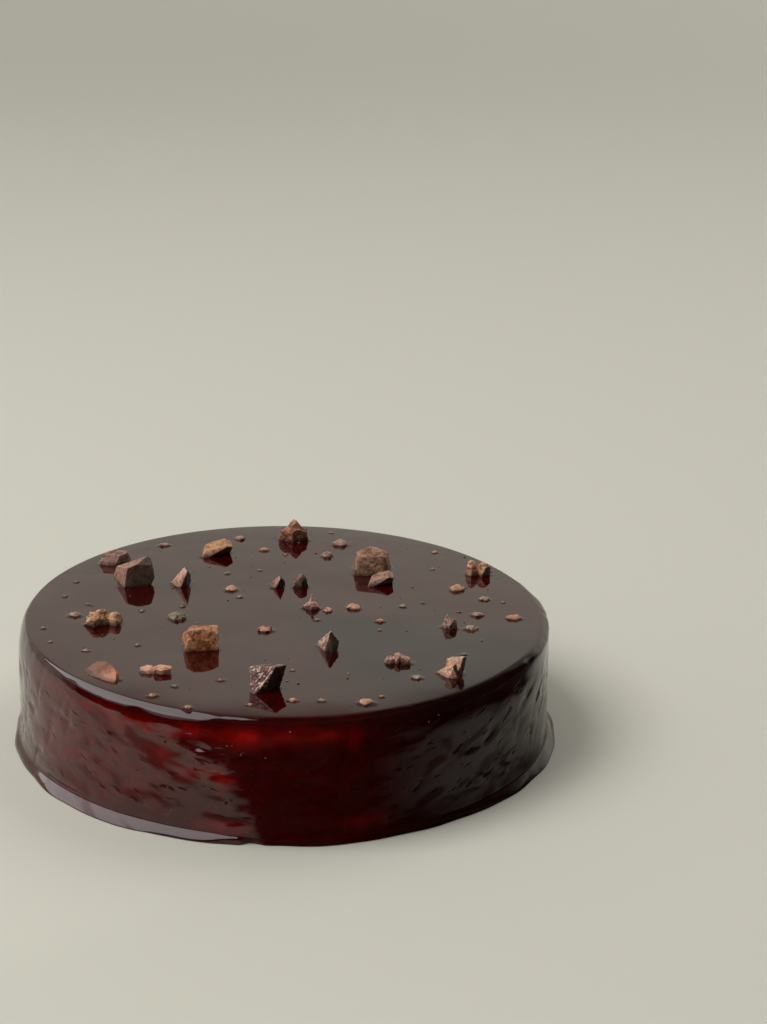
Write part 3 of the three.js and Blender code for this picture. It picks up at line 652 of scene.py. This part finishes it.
apart = node(tree, "ShaderNodeSeparateXYZ", {0: place})
near = node(tree, "ShaderNodeMath", {0: apart.outputs["Y"], 1: -1.0}, operation="MULTIPLY")
swept = node(tree, "ShaderNodeMath", {0: apart.outputs["X"], 1: near}, operation="ARCTAN2")
along = node(tree, "ShaderNodeMath", {0: swept, 1: TOP_RADIUS * MM}, operation="MULTIPLY")
square = node(tree, "ShaderNodeMath", {0: along, 1: 2.0}, operation="POWER")
bowed = node(tree, "ShaderNodeMath", {0: square, 1: -STROKE_BOW, 2: apart.outputs["Z"]},
             operation="MULTIPLY_ADD")
straight = node(tree, "ShaderNodeCombineXYZ", {"X": apart.outputs["X"], "Y": apart.outputs["Y"], "Z": bowed})
per_slit = (1 / (SLIT_LONG * MM), 1 / (SLIT_LONG * MM), 1 / (SLIT_HIGH * MM))
stretched = node(tree, "ShaderNodeVectorMath", {0: straight, 1: per_slit}, operation="MULTIPLY")
strokes = node(tree, "ShaderNodeTexNoise", {"Vector": stretched, "Scale": 1.0, "Detail": 1.0,
                                            "Roughness": 0.5, "Distortion": 0.5})
slit = node(tree, "ShaderNodeMapRange", {"Value": strokes, "From Min": SLIT_FROM, "From Max": SLIT_FULL,
                                         "To Min": 0.0, "To Max": -1.0}, interpolation_type="SMOOTHSTEP")
above_foot, below_edge = [
    node(tree, "ShaderNodeMapRange", {"Value": apart.outputs["Z"], "From Min": none * MM,
                                      "From Max": full * MM}) for none, full in (SLITS_LOW, SLITS_HIGH)]
in_reach = node(tree, "ShaderNodeMath", {0: above_foot, 1: below_edge}, operation="MULTIPLY")
slits = node(tree, "ShaderNodeMath", {0: slit, 1: in_reach}, operation="MULTIPLY")
print("slits:", SLIT_LONG, "by", SLIT_HIGH, "mm")

# %% Cocoa mirror glaze: its bumps and its mirror
# Three bumps lie over one another: the slits, a fine ripple of about 11 mm and a slow swell of about 40 mm.
RIPPLES, RIPPLE_DEEP = 90.0, 0.12  # in a metre, mm
SWELLS, SWELL_DEEP = 26.0, 0.7  # in a metre, mm
SLIT_DULL = 0.85  # how much of the mirror a slit takes away
CLEAREST = 0.75  # specular level of the clear skin

slit_bump = node(tree, "ShaderNodeBump", {"Height": slits, "Strength": 1.0, "Distance": SLIT_DEEP * MM})
ripple = node(tree, "ShaderNodeTexNoise", {"Vector": place, "Scale": RIPPLES, "Detail": 2.0,
                                           "Roughness": 0.5})
fine = node(tree, "ShaderNodeBump", {"Height": ripple, "Strength": 0.25, "Distance": RIPPLE_DEEP * MM,
                                     "Normal": slit_bump})
swell = node(tree, "ShaderNodeTexNoise", {"Vector": place, "Scale": SWELLS, "Detail": 1.0, "Roughness": 0.4})
bump = node(tree, "ShaderNodeBump", {"Height": swell, "Strength": 1.0, "Distance": SWELL_DEEP * MM,
                                     "Normal": fine})
tree.links.new(bump.outputs[0], skin.inputs["Normal"])
mirror = node(tree, "ShaderNodeAttribute", attribute_name="mirror").outputs["Fac"]
kept = node(tree, "ShaderNodeMath", {0: slits, 1: SLIT_DULL, 2: 1.0}, operation="MULTIPLY_ADD")
shown = node(tree, "ShaderNodeMath", {0: mirror, 1: kept}, operation="MULTIPLY")
specular = node(tree, "ShaderNodeMath", {0: shown, 1: CLEAREST}, operation="MULTIPLY")
tree.links.new(specular.outputs[0], skin.inputs["Specular IOR Level"])
print("glaze material:", len(tree.nodes), "nodes")

# %% [markdown]
# ## The chopped nougat
# Each piece was chopped from a bar: a few large broken faces, sharp but crumbly edges, fine facets where it
# snapped. The solid has the large faces. Its fine surface could be sculpted by hand, but a measured way keeps
# the form: from the solid's middle a ray goes out through each point of a grid on a cube, and the farthest
# face that it meets gives the distance. A few rays side by side are averaged, which blunts the edges by a
# fraction of a millimetre, and lumps and facets are added.

# %% A grid of directions and the reach of a solid
def cube_grid(cells):
    """Unit directions through a grid on the six faces of a cube, evenly spaced by angle, and the quads
    between them. Points on the cube's edges are merged, so the grid is closed."""
    even = np.tan(np.linspace(-np.pi / 4, np.pi / 4, cells + 1))
    first, second = np.meshgrid(even, even, indexing="ij")
    ahead = np.ones_like(first)
    points, quads = [], []
    for axis in range(3):
        for side in (1, -1):
            face = np.stack(np.roll([ahead * side, first, second * side], axis, axis=0), axis=-1)
            quads.append(grid_faces(cells + 1, cells + 1, closed=False) + len(points) * (cells + 1) ** 2)
            points.append(face.reshape(-1, 3))
    points = np.concatenate(points)
    points /= np.linalg.norm(points, axis=1, keepdims=True)
    _, first_at, place = np.unique(points.round(6), axis=0, return_index=True, return_inverse=True)
    return points[first_at], place.reshape(-1)[np.concatenate(quads)]


def reach(middle, directions, corners):
    """Distance from the middle to the farthest triangle that each ray meets, and that triangle's number.
    Cramer's rule gives the ray's length and its two shares along the triangle's edges. A ray that runs along
    a triangle divides by zero, and doesn't count as inside it."""
    one, two = corners[:, 1] - corners[:, 0], corners[:, 2] - corners[:, 0]
    start = middle - corners[:, 0]
    cross = np.cross(start, one)
    with np.errstate(divide="ignore", invalid="ignore"):
        scale = 1 / (directions @ np.cross(two, one).T)
        share_one = (directions @ np.cross(two, start).T) * scale
        share_two = (directions @ cross.T) * scale
        length = (two * cross).sum(-1) * scale
        inside = (share_one > -1e-4) & (share_two > -1e-4) & (share_one + share_two < 1.0001) & (length > 0)
    length = np.where(inside, length, 0)
    return length.max(1), length.argmax(1)


def node_triangles(name):
    """Corners of a CAD node's triangles in millimetres, as (count, 3, 3)."""
    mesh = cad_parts[name].data
    mesh.calc_loop_triangles()
    co = np.empty(len(mesh.vertices) * 3)
    mesh.vertices.foreach_get("co", co)
    corner = np.empty(len(mesh.loop_triangles) * 3, int)
    mesh.loop_triangles.foreach_get("vertices", corner)
    return co.reshape(-1, 3)[corner].reshape(-1, 3, 3) / MM


# %% [markdown]
# ## What each piece looks like
# No two pieces have the same colour: some show the pink-brown of milk nougat, some the orange of toasted
# nuts, and one is nearly black and wet with glaze, with pale streaks painted as glints on its faces toward
# the window. Each has painted shade on the side turned away from the window, darker than the even light of
# this room would make it. A table holds all that.

# %% Table of looks
LOOKS = {  # faces, grains, share of grains, wetness, roughness, painted shade on one side: azimuth, rise and strength
    1: ("#a57c70", "#6e4c40", 0.4, 0.3, 0.8, (330, -40, 0.5)),
    2: ("#a87e6c", "#7a5442", 0.4, 0.3, 0.8, (335, 15, 0.8)),
    3: ("#dcb09a", "#a06a50", 0.35, 0.6, 0.8, (340, -10, 0.85)),
    4: ("#cc9870", "#966044", 0.4, 0.4, 0.8, (290, -50, 0.85)),
    5: ("#b47a5c", "#7c4834", 0.5, 0.4, 2.2, (340, -25, 0.55)),
    6: ("#b08672", "#704c40", 0.4, 0.3, 0.8, (345, -10, 0.9)),
    7: ("#7c5e50", "#4e3428", 0.5, 0.3, 0.9, (330, -20, 0.75)),
    8: ("#cc9c90", "#92685a", 0.4, 0.3, 0.9, (290, -60, 0.6)),
    9: ("#a07a64", "#76523f", 0.5, 0.3, 1.1, (300, -70, 0.5)),
    10: ("#a88272", "#7a5644", 0.3, 0.3, 0.9, (290, -50, 0.75)),
    11: ("#d8a488", "#94604a", 0.45, 0.7, 1.3, (320, -50, 0.7)),
    12: ("#d0a078", "#7e563a", 0.45, 0.4, 2.6, (285, -60, 0.58)),
    13: ("#ca8c66", "#8e5638", 0.4, 0.1, 1.2, (60, 60, 0.1)),
    14: ("#d8b4a0", "#86604c", 0.35, 0.3, 1.0, (325, -10, 0.9)),
    15: ("#64382a", "#331810", 0.5, 0.75, 1.2, (335, -10, 0.75)),
    16: ("#c8a08c", "#7c584a", 0.5, 0.4, 1.9, (290, -60, 0.55)),
    17: ("#dcae90", "#a06a4c", 0.35, 0.65, 1.2, (350, -10, 0.9)),
    18: ("#b88c80", "#72524a", 0.45, 0.4, 1.2, (330, -40, 0.7)),
    19: ("#cc8462", "#9c5840", 0.35, 0.3, 0.7, (80, 10, 0.6)),
    20: ("#e0a688", "#ac7050", 0.4, 0.8, 1.0, (300, -60, 0.35))}
STREAKED = 15  # a dark piece with pale streaks on its broken face: painted glints along its fibres
GLINT_STREAK_TURN = np.array(Matrix.Rotation(math.radians(35), 3, "Y") @ Matrix.Rotation(math.radians(20), 3, "X"))
GLINT_STREAK_SIZE = np.array([0.42, 0.8, 2.8])  # mm
RIM = linear("#d9b3a2")
RIM_PALE = 0.65  # how far an edge goes towards the pale rim colour
print("looks:", len(LOOKS))


# %% Relief and colour of a broken piece
def broken_relief(points, edge, roughness, seed):
    """How far each point moves out in mm, and the numbers of its large and its small facet: facets of 2.4 and
    1 mm and fine lumps, times the roughness, less what crumbled off at the edges."""
    large, own = facets(points, 2.4, seed)
    small, own_small = facets(points, 1.0, seed + 1)
    soft = 0.10 * lumps(points, 0.7, seed + 2) + 0.07 * lumps(points, 0.35, seed + 3)
    return roughness * (0.34 * large + 0.28 * small + soft) - 0.22 * edge * own_small, own, own_small


def broken_tint(number, points, facing, pale_edge_share, own, own_small):
    """Colour of each point before shading: the faces' colour with patches of darker grains, which facets and
    lumps set, pale streaks painted as glints on the streaked piece's faces toward the window, and the pale
    rim colour along the edges."""
    face_colour, grain_colour, grain_share, wet, _, (*painted_shade_at, _) = LOOKS[number]
    patchy = 0.5 * own + 0.3 * own_small + 0.35 * lumps(points, 1.3, 10 * number + 4)
    grain = smoothstep(patchy, 0.75 - grain_share, 1.05 - grain_share)[:, None]
    tint = linear(face_colour) * (1 - grain) + linear(grain_colour) * grain
    if number == STREAKED:
        # Pale streaks on the faces toward the window: painted glints.
        glint_streak = smoothstep(lumps(points @ GLINT_STREAK_TURN, GLINT_STREAK_SIZE, 8), 0.15, 0.5)
        glint_streak = glint_streak * (1 - 0.85 * smoothstep(facing @ direction(*painted_shade_at), 0.1, 0.6))
        tint = tint + (1.25 * RIM - tint) * 0.85 * glint_streak[:, None]
    rim = RIM_PALE * (pale_edge_share * smoothstep(own_small, 0.2, 0.7))[:, None]
    return tint + (RIM - tint) * rim * (1 - 0.5 * wet)


def coat_and_foot_shade(points, low, high, least):
    """Share of its colour that a topping keeps: the least up to low mm over the glaze and all of it from high
    mm on, with a smooth step between. The dark foot is partly the glaze that coats it and partly painted
    shade where the topping meets the glaze."""
    over = points[:, 2] - top_height(np.hypot(points[:, 0], points[:, 1]))
    return (least + (1 - least) * smoothstep(over, low, high))[:, None]


# %% Nougat pieces
PIECE_CELLS, STREAKED_CELLS = 40, 76  # the painted glint streaks need the finer grid
BLUNT = 0.8  # how far the rays of one point spread, in cells of the coarser grid
RIM_WIDE = 4.2  # times as far for the pale edges
piece_grids = {cells: cube_grid(cells) for cells in (PIECE_CELLS, STREAKED_CELLS)}
jitter = np.random.default_rng(5).normal(size=(6, 1, 3)) * BLUNT * (np.pi / 2) / PIECE_CELLS / 2


def mean_reach(middle, directions, corners, spread=1.0):
    """Mean distance to the solid over a few rays side by side, and the mean normal of the faces that they
    meet, which is shorter than 1 where those faces differ."""
    normals = np.cross(corners[:, 1] - corners[:, 0], corners[:, 2] - corners[:, 0])
    normals /= np.linalg.norm(normals, axis=1, keepdims=True)
    length, facing = 0, 0
    for offset in spread * jitter:
        far, met = reach(middle, directions + offset, corners)
        length = length + far / len(jitter)
        facing = facing + normals[met] / len(jitter)
    return length, facing


pieces = {}
for number, (_, _, _, wet, roughness, (*painted_shade_at, dark)) in LOOKS.items():
    name = f"chunk_{number:02d}"
    directions, quads = piece_grids[STREAKED_CELLS if number == STREAKED else PIECE_CELLS]
    corners = node_triangles(name)
    low, high = corners.reshape(-1, 3).min(0), corners.reshape(-1, 3).max(0)
    middle = (low + high) / 2
    length, facing = mean_reach(middle, directions, corners)
    _, around = mean_reach(middle, directions, corners, RIM_WIDE)
    edge = np.clip(4 * (1 - np.linalg.norm(facing, axis=1)), 0, 1)
    pale_edge_share = np.clip(5 * (1 - np.linalg.norm(around, axis=1)), 0, 1)
    blunted = middle + directions * length[:, None]
    out, own, own_small = broken_relief(blunted, edge, roughness, 10 * number)
    points = blunted + directions * out[:, None]
    # Painted shade: each piece's colour is darkened on the side turned away from the window, by its look's
    # strength.
    painted_shade_way = direction(*painted_shade_at)
    turned_away = 0.65 * facing @ painted_shade_way + 0.35 * ((points - middle) / (high - low) * 2) @ painted_shade_way
    painted_shade_factor = 1 - dark * smoothstep(turned_away, 0.05, 0.5)[:, None]
    tint = broken_tint(number, blunted, facing, pale_edge_share, own, own_small)
    tint = tint * coat_and_foot_shade(points, -0.3, 2.2, 0.3) * painted_shade_factor
    piece = put_mesh(f"nougat_{number:02d}", points, quads, tint=tint, wet=np.full(len(points), wet))
    piece.data.set_sharp_from_angle(angle=math.radians(38))
    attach(piece, "root")
    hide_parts(name)
    pieces[number] = piece
print("nougat:", len(pieces), "pieces,", sum(len(piece.data.polygons) for piece in pieces.values()), "faces")


# %% Chopped nougat and crumb finishes
def broken_finish(name, grain_mm, bump_mm):
    """A broken, slightly fatty surface: the point's tint, which holds its painted shade, darkened and
    lightened by fine noise, with a fine bump. As the wet attribute goes from 0 to 1, roughness falls from
    0.62 to 0.22 and the specular level rises from 0.12 to 0.7."""
    made, tree, skin = new_material(name)
    place = node(tree, "ShaderNodeTexCoord").outputs["Object"]
    tint = node(tree, "ShaderNodeAttribute", attribute_name="tint").outputs["Vector"]
    wet = node(tree, "ShaderNodeAttribute", attribute_name="wet").outputs["Fac"]
    speckle = node(tree, "ShaderNodeTexNoise", {"Vector": place, "Scale": 1 / (grain_mm * MM), "Detail": 4.0,
                                                "Roughness": 0.65})
    tone = node(tree, "ShaderNodeMapRange", {"Value": speckle, "From Min": 0.3, "From Max": 0.72,
                                             "To Min": 0.62, "To Max": 1.3})
    body = node(tree, "ShaderNodeVectorMath", {0: tint, "Scale": tone}, operation="SCALE")
    tree.links.new(body.outputs[0], skin.inputs["Base Color"])
    dry = node(tree, "ShaderNodeMapRange", {"Value": wet, "To Min": 0.62, "To Max": 0.22})
    tree.links.new(dry.outputs[0], skin.inputs["Roughness"])
    fatty = node(tree, "ShaderNodeMapRange", {"Value": wet, "To Min": 0.12, "To Max": 0.7})
    tree.links.new(fatty.outputs[0], skin.inputs["Specular IOR Level"])
    bump = node(tree, "ShaderNodeBump", {"Height": speckle, "Strength": 0.8, "Distance": bump_mm * MM})
    tree.links.new(bump.outputs[0], skin.inputs["Normal"])
    return made


# Milk chocolate and ground nuts: matt, crumbly, with a little fat that catches the light on wet pieces.
nougat = broken_finish("chopped_chocolate_nougat", 0.9, 0.3)
for piece in pieces.values():
    piece.data.materials.append(nougat)

# %% [markdown]
# ## Crumbs
# Fine crumbs fell off the nougat as it was chopped and lie half sunk in the glaze. On the solid they are
# fused to the cake as plain lumps. The solid itself tells where: corners above the flat top that edges join
# belong to one lump. A small broken crumb of the same place, size and turn is put there. Crumbs of one kind
# are one joined piece.

# %% Find the crumbs on the solid
ABOVE = 0.12  # mm over the glaze from which a corner belongs to a crumb
spots, corner_of = np.unique(node_triangles("cake").reshape(-1, 3).round(3), axis=0, return_inverse=True)
corner_of = corner_of.reshape(-1, 3)
from_middle = np.hypot(spots[:, 0], spots[:, 1])
above = (spots[:, 2] > top_height(from_middle) + ABOVE) & (from_middle < TOP_RADIUS - SHOULDER_IN)
edges = np.concatenate([corner_of[:, [0, 1]], corner_of[:, [1, 2]], corner_of[:, [2, 0]]])
edges = edges[above[edges].any(1)]
group = np.arange(len(spots))
for _ in range(12):  # each pass carries the lowest number one edge farther; a crumb is a few edges across
    lowest = group[edges].min(1)
    np.minimum.at(group, edges[:, 0], lowest)
    np.minimum.at(group, edges[:, 1], lowest)

crumb_rows = []  # x, y, half length, half width, height over the glaze, turn
for label in np.unique(group[above]):
    of = spots[group == label]
    centre = (of[:, :2].max(0) + of[:, :2].min(0)) / 2
    _, axes = np.linalg.eigh(np.cov((of[:, :2] - centre).T))
    half = np.abs((of[:, :2] - centre) @ axes).max(0)
    rise = of[:, 2].max() - top_height(math.hypot(*centre))
    crumb_rows.append([*centre, half[1], half[0], rise, math.atan2(axes[1, 1], axes[0, 1])])
crumb_table = np.array(crumb_rows)
print("crumbs on the solid:", len(crumb_table), "from", (2 * crumb_table[:, 2].min()).round(1), "to",
      (2 * crumb_table[:, 2].max()).round(1), "mm long")

# %% Kinds of crumbs
KINDS = {"toasted": ("#c6967a", "#966648"), "pink": ("#ae887c", "#845a50"), "pale": ("#ab9482", "#826a5a"),
         "olive": ("#94866f", "#6a5c48")}
SPOTS = {  # crumbs whose kind shows: right and back of the middle in mm
    "toasted": [
    (-50.5, -88), (-36.5, -99), (3.5, -93), (-23, 24), (-9, 73), (-8, -22), (18.5, 0), (29, 3),
    (40, -12), (74, 25), (96, -8), (-13, -97), (31, -95)],
    "pale": [(14.5, -93), (50, 5), (52, -71), (77, -20)],
    "pink": [(-87, -6), (-54, 79), (-20, 88), (19, 66), (25, 81), (85, 13), (81, -5)],
    "olive": [(-44, -8), (-93, 16)]}
SPOT_REACH = 3.5  # mm

kind_of = counted_draws(71, len(crumb_table))
kind_of = np.select([kind_of < 0.45, kind_of < 0.75, kind_of < 0.95], [0, 1, 2], 3)
for k, kind in enumerate(KINDS):
    for spot in SPOTS[kind]:
        away = np.linalg.norm(crumb_table[:, :2] - spot, axis=1)
        kind_of[(away < SPOT_REACH) & (away == away.min())] = k
print({kind: int((kind_of == k).sum()) for k, kind in enumerate(KINDS)})

# %% Specks too small for the solid
SPECKS = 80
drawn = counted_draws(83, 6 * SPECKS).reshape(SPECKS, 6)
speck_radius = (TOP_RADIUS - SHOULDER_IN) * np.sqrt(drawn[:, 0])
speck_turn = 2 * np.pi * drawn[:, 1]
speck_half = 0.25 + 0.45 * drawn[:, 2] ** 2  # mm
speck_table = np.column_stack([polar(speck_radius, speck_turn, 0)[:, :2], speck_half,
                               speck_half * (0.5 + 0.4 * drawn[:, 3]), 0.8 * speck_half,
                               2 * np.pi * drawn[:, 4]])
speck_kind = np.select([drawn[:, 5] < 0.35, drawn[:, 5] < 0.55], [0, 1], 2)

# Small pale bits on the side: their pale colour paints tiny glints of light on the glaze.
SIDE_GLINT_SPECKS = [  # azimuth in degrees, height in mm
    (246.4, 20.4), (258.8, 40.2), (261.6, 37.7), (271.2, 46.8), (255.1, 25.2), (266.5, 36.9),
    (302.7, 45.8), (300.3, 44.5), (222, 30), (236, 38), (311, 33), (20, 36), (48, 22), (95, 41),
    (133, 18), (171, 33)]
SIDE_GLINT_HALF = 0.35  # mm
side_glint_places = []
for speck_azimuth, height in SIDE_GLINT_SPECKS:
    row = np.argmin(np.abs(profile_z[:FOOT_ROWS + SIDE_ROWS, 0] - height))
    column = round(speck_azimuth / 360 * AROUND)
    side_glint_places.append(polar(radius[row, column], angle[0, column], profile_z[row, 0]))
side_glint_places = np.array(side_glint_places)
print("specks:", SPECKS, "on top,", len(side_glint_places), "on the side")


# %% Shapes of crumbs and specks
def crumb_points(places, halves, turns, directions, seed):
    """Points of many crumbs at once, as (crumb, point, 3): unit directions stretched to each crumb's half
    sizes, moved in or out by facets and lumps, turned about the upright and set in place."""
    shaped = directions[None] * halves[:, None]
    own = shaped + 40 * np.arange(len(halves))[:, None, None]
    own = (own / halves[:, None, :1]).reshape(-1, 3)
    factor = 1 + 0.55 * facets(own, 0.75, seed)[0] + 0.12 * lumps(own, 0.4, seed + 9)
    shaped = shaped * factor.reshape(len(halves), -1, 1)
    cos, sin = np.cos(turns)[:, None], np.sin(turns)[:, None]
    turned = np.stack([shaped[..., 0] * cos - shaped[..., 1] * sin,
                       shaped[..., 0] * sin + shaped[..., 1] * cos, shaped[..., 2]], axis=-1)
    return turned + places[:, None]


def joined_crumbs(tables, seed):
    """Points, quads and a random number for each point, for several tables of crumbs. A table holds places,
    half sizes, turns and the cells of its crumbs' grid."""
    all_points, all_quads, tones = [], [], []
    for places, halves, turns, cells in tables:
        directions, quads = cube_grid(cells)
        made = crumb_points(places, halves, turns, directions, seed)
        start = sum(len(p) for p in all_points)
        offsets = start + len(directions) * np.arange(len(places))
        all_quads.append((quads[None] + offsets[:, None, None]).reshape(-1, 4))
        all_points.append(made.reshape(-1, 3))
        tones.append(np.repeat(counted_draws(seed + cells, len(places)), len(directions)))
    return np.concatenate(all_points), np.concatenate(all_quads), np.concatenate(tones)


# %% Build the crumbs, one joined piece for each kind
CRUMB_CELLS, SPECK_CELLS = 9, 3
FLATTEST = 0.72  # a crumb is at most this share of its mean width tall
OVER = 0.6  # share of its height that stands over the glaze

# Toasted nut and milk chocolate crumbs: matt and grainy, a little wet where the glaze touches them.
crumb_finish = broken_finish("toasted_nougat_crumb", 0.5, 0.2)
for k, (kind, (face_colour, grain_colour)) in enumerate(KINDS.items()):
    tables = []
    of_kind = ((crumb_table[kind_of == k], CRUMB_CELLS), (speck_table[speck_kind == k], SPECK_CELLS))
    for table, cells in of_kind:
        x, y, half, half_across, over, turns = table.T
        tall = np.minimum(over / OVER, FLATTEST * (half + half_across))
        places = np.stack([x, y, top_height(np.hypot(x, y)) + (OVER - 0.5) * tall], axis=-1)
        tables.append((places, np.stack([half, half_across, tall / 2], axis=-1), turns, cells))
    # The side's bits take the pale colour, which paints them as glints.
    if kind == "pale":
        halves = np.full((len(side_glint_places), 3), SIDE_GLINT_HALF)
        tables.append((side_glint_places, halves, np.zeros(len(side_glint_places)), SPECK_CELLS))
    tables = [table for table in tables if len(table[0])]
    crumb_at, crumb_quads, tone = joined_crumbs(tables, 300 + 20 * k)
    grain = smoothstep(0.6 * tone + 0.5 * lumps(crumb_at, 0.9, 310 + k), 0.25, 0.85)[:, None]
    tint = linear(face_colour) * (1 - grain) + linear(grain_colour) * grain
    tint = tint * coat_and_foot_shade(crumb_at, -0.1, 0.9, 0.25)
    crumbs = put_mesh(f"crumbs_{kind}", crumb_at, crumb_quads, tint=tint, wet=np.full(len(crumb_at), 0.45))
    crumbs.data.set_sharp_from_angle(angle=math.radians(40))
    crumbs.data.materials.append(crumb_finish)
    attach(crumbs, "root")
    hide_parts("cake")
    print(crumbs.name, len(crumb_quads), "faces")

# %% [markdown]
# ## Glaze that climbs the toppings
# Where a piece or a crumb stands in wet glaze, the glaze climbs a little up its foot and bends the reflection
# there. Those small bright and dark curls make the toppings sit in the glaze and not on it. Each one is a
# ring round the topping's outline, and its height falls off as the square of the distance from it.

# %% Outlines of the toppings at the height of the glaze
RING_POINTS = 56
PIECE_CLIMB, PIECE_SPREAD = 0.26, 2.6  # mm up and mm out, for a piece; a crumb's grow with its size
SMOOTHED = ((-2, 0.1), (-1, 0.25), (0, 0.3), (1, 0.25), (2, 0.1))  # neighbours and their weights
ring_turn = np.linspace(0, 2 * np.pi, RING_POINTS, endpoint=False)

outlines = []  # middle, reach for each direction, climb and spread in mm
for number in LOOKS:
    corners = node_triangles(f"chunk_{number:02d}")
    flat = corners.reshape(-1, 3)
    surface = top_height(math.hypot(*flat[:, :2].mean(0))) + 0.15
    middle = np.array([*((flat[:, :2].max(0) + flat[:, :2].min(0)) / 2), surface])
    far, _ = reach(middle, polar(1, ring_turn, 0), corners)
    far = np.where(far > 0, far, np.median(far[far > 0]))
    far = sum(np.roll(far, k) * weight for k, weight in SMOOTHED)
    outlines.append((middle[:2], far, PIECE_CLIMB, PIECE_SPREAD))
for x, y, half, half_across, _, turned in crumb_table:
    way = ring_turn - turned
    far = half * half_across / np.hypot(half_across * np.cos(way), half * np.sin(way))
    outlines.append((np.array([x, y]), far, min(0.22, 0.08 * half + 0.05), 1.2 + 0.5 * half))
print("outlines:", len(outlines))

# %% Rings of climbing glaze
RING_STEPS = np.array([-0.3, -0.12, 0.0, 0.1, 0.22, 0.36, 0.52, 0.7, 0.85, 1.0])  # share of the spread
RING_DOWN = 0.012  # mm: the outer end dips under the glaze, so that no step shows
rim_points, rim_quads = [], []
for number, (middle, far, climb, spread) in enumerate(outlines):
    uneven = 1 + 0.35 * lumps(polar(1, ring_turn, 9 * number), 1, 91)
    out = far[None] + RING_STEPS[:, None] * spread * uneven[None]
    x, y = middle[0] + out * np.cos(ring_turn), middle[1] + out * np.sin(ring_turn)
    rise = climb * uneven * (1 - RING_STEPS)[:, None] ** 2
    height = top_height(np.hypot(x, y)) + rise - RING_DOWN
    first = len(rim_points) * RING_POINTS * len(RING_STEPS)
    rim_quads.append(grid_faces(len(RING_STEPS), RING_POINTS)[:, ::-1] + first)
    rim_points.append(np.stack([x, y, height], axis=-1).reshape(-1, 3))
rim_points = np.concatenate(rim_points)
rims = put_mesh("glaze_rims", rim_points, np.concatenate(rim_quads),
                tint=np.tile(COCOA, (len(rim_points), 1)), mirror=np.ones(len(rim_points)))
rims.data.materials.append(mirror_glaze)
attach(rims, "root")
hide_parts("cake")
print("rims:", len(rims.data.polygons), "faces")
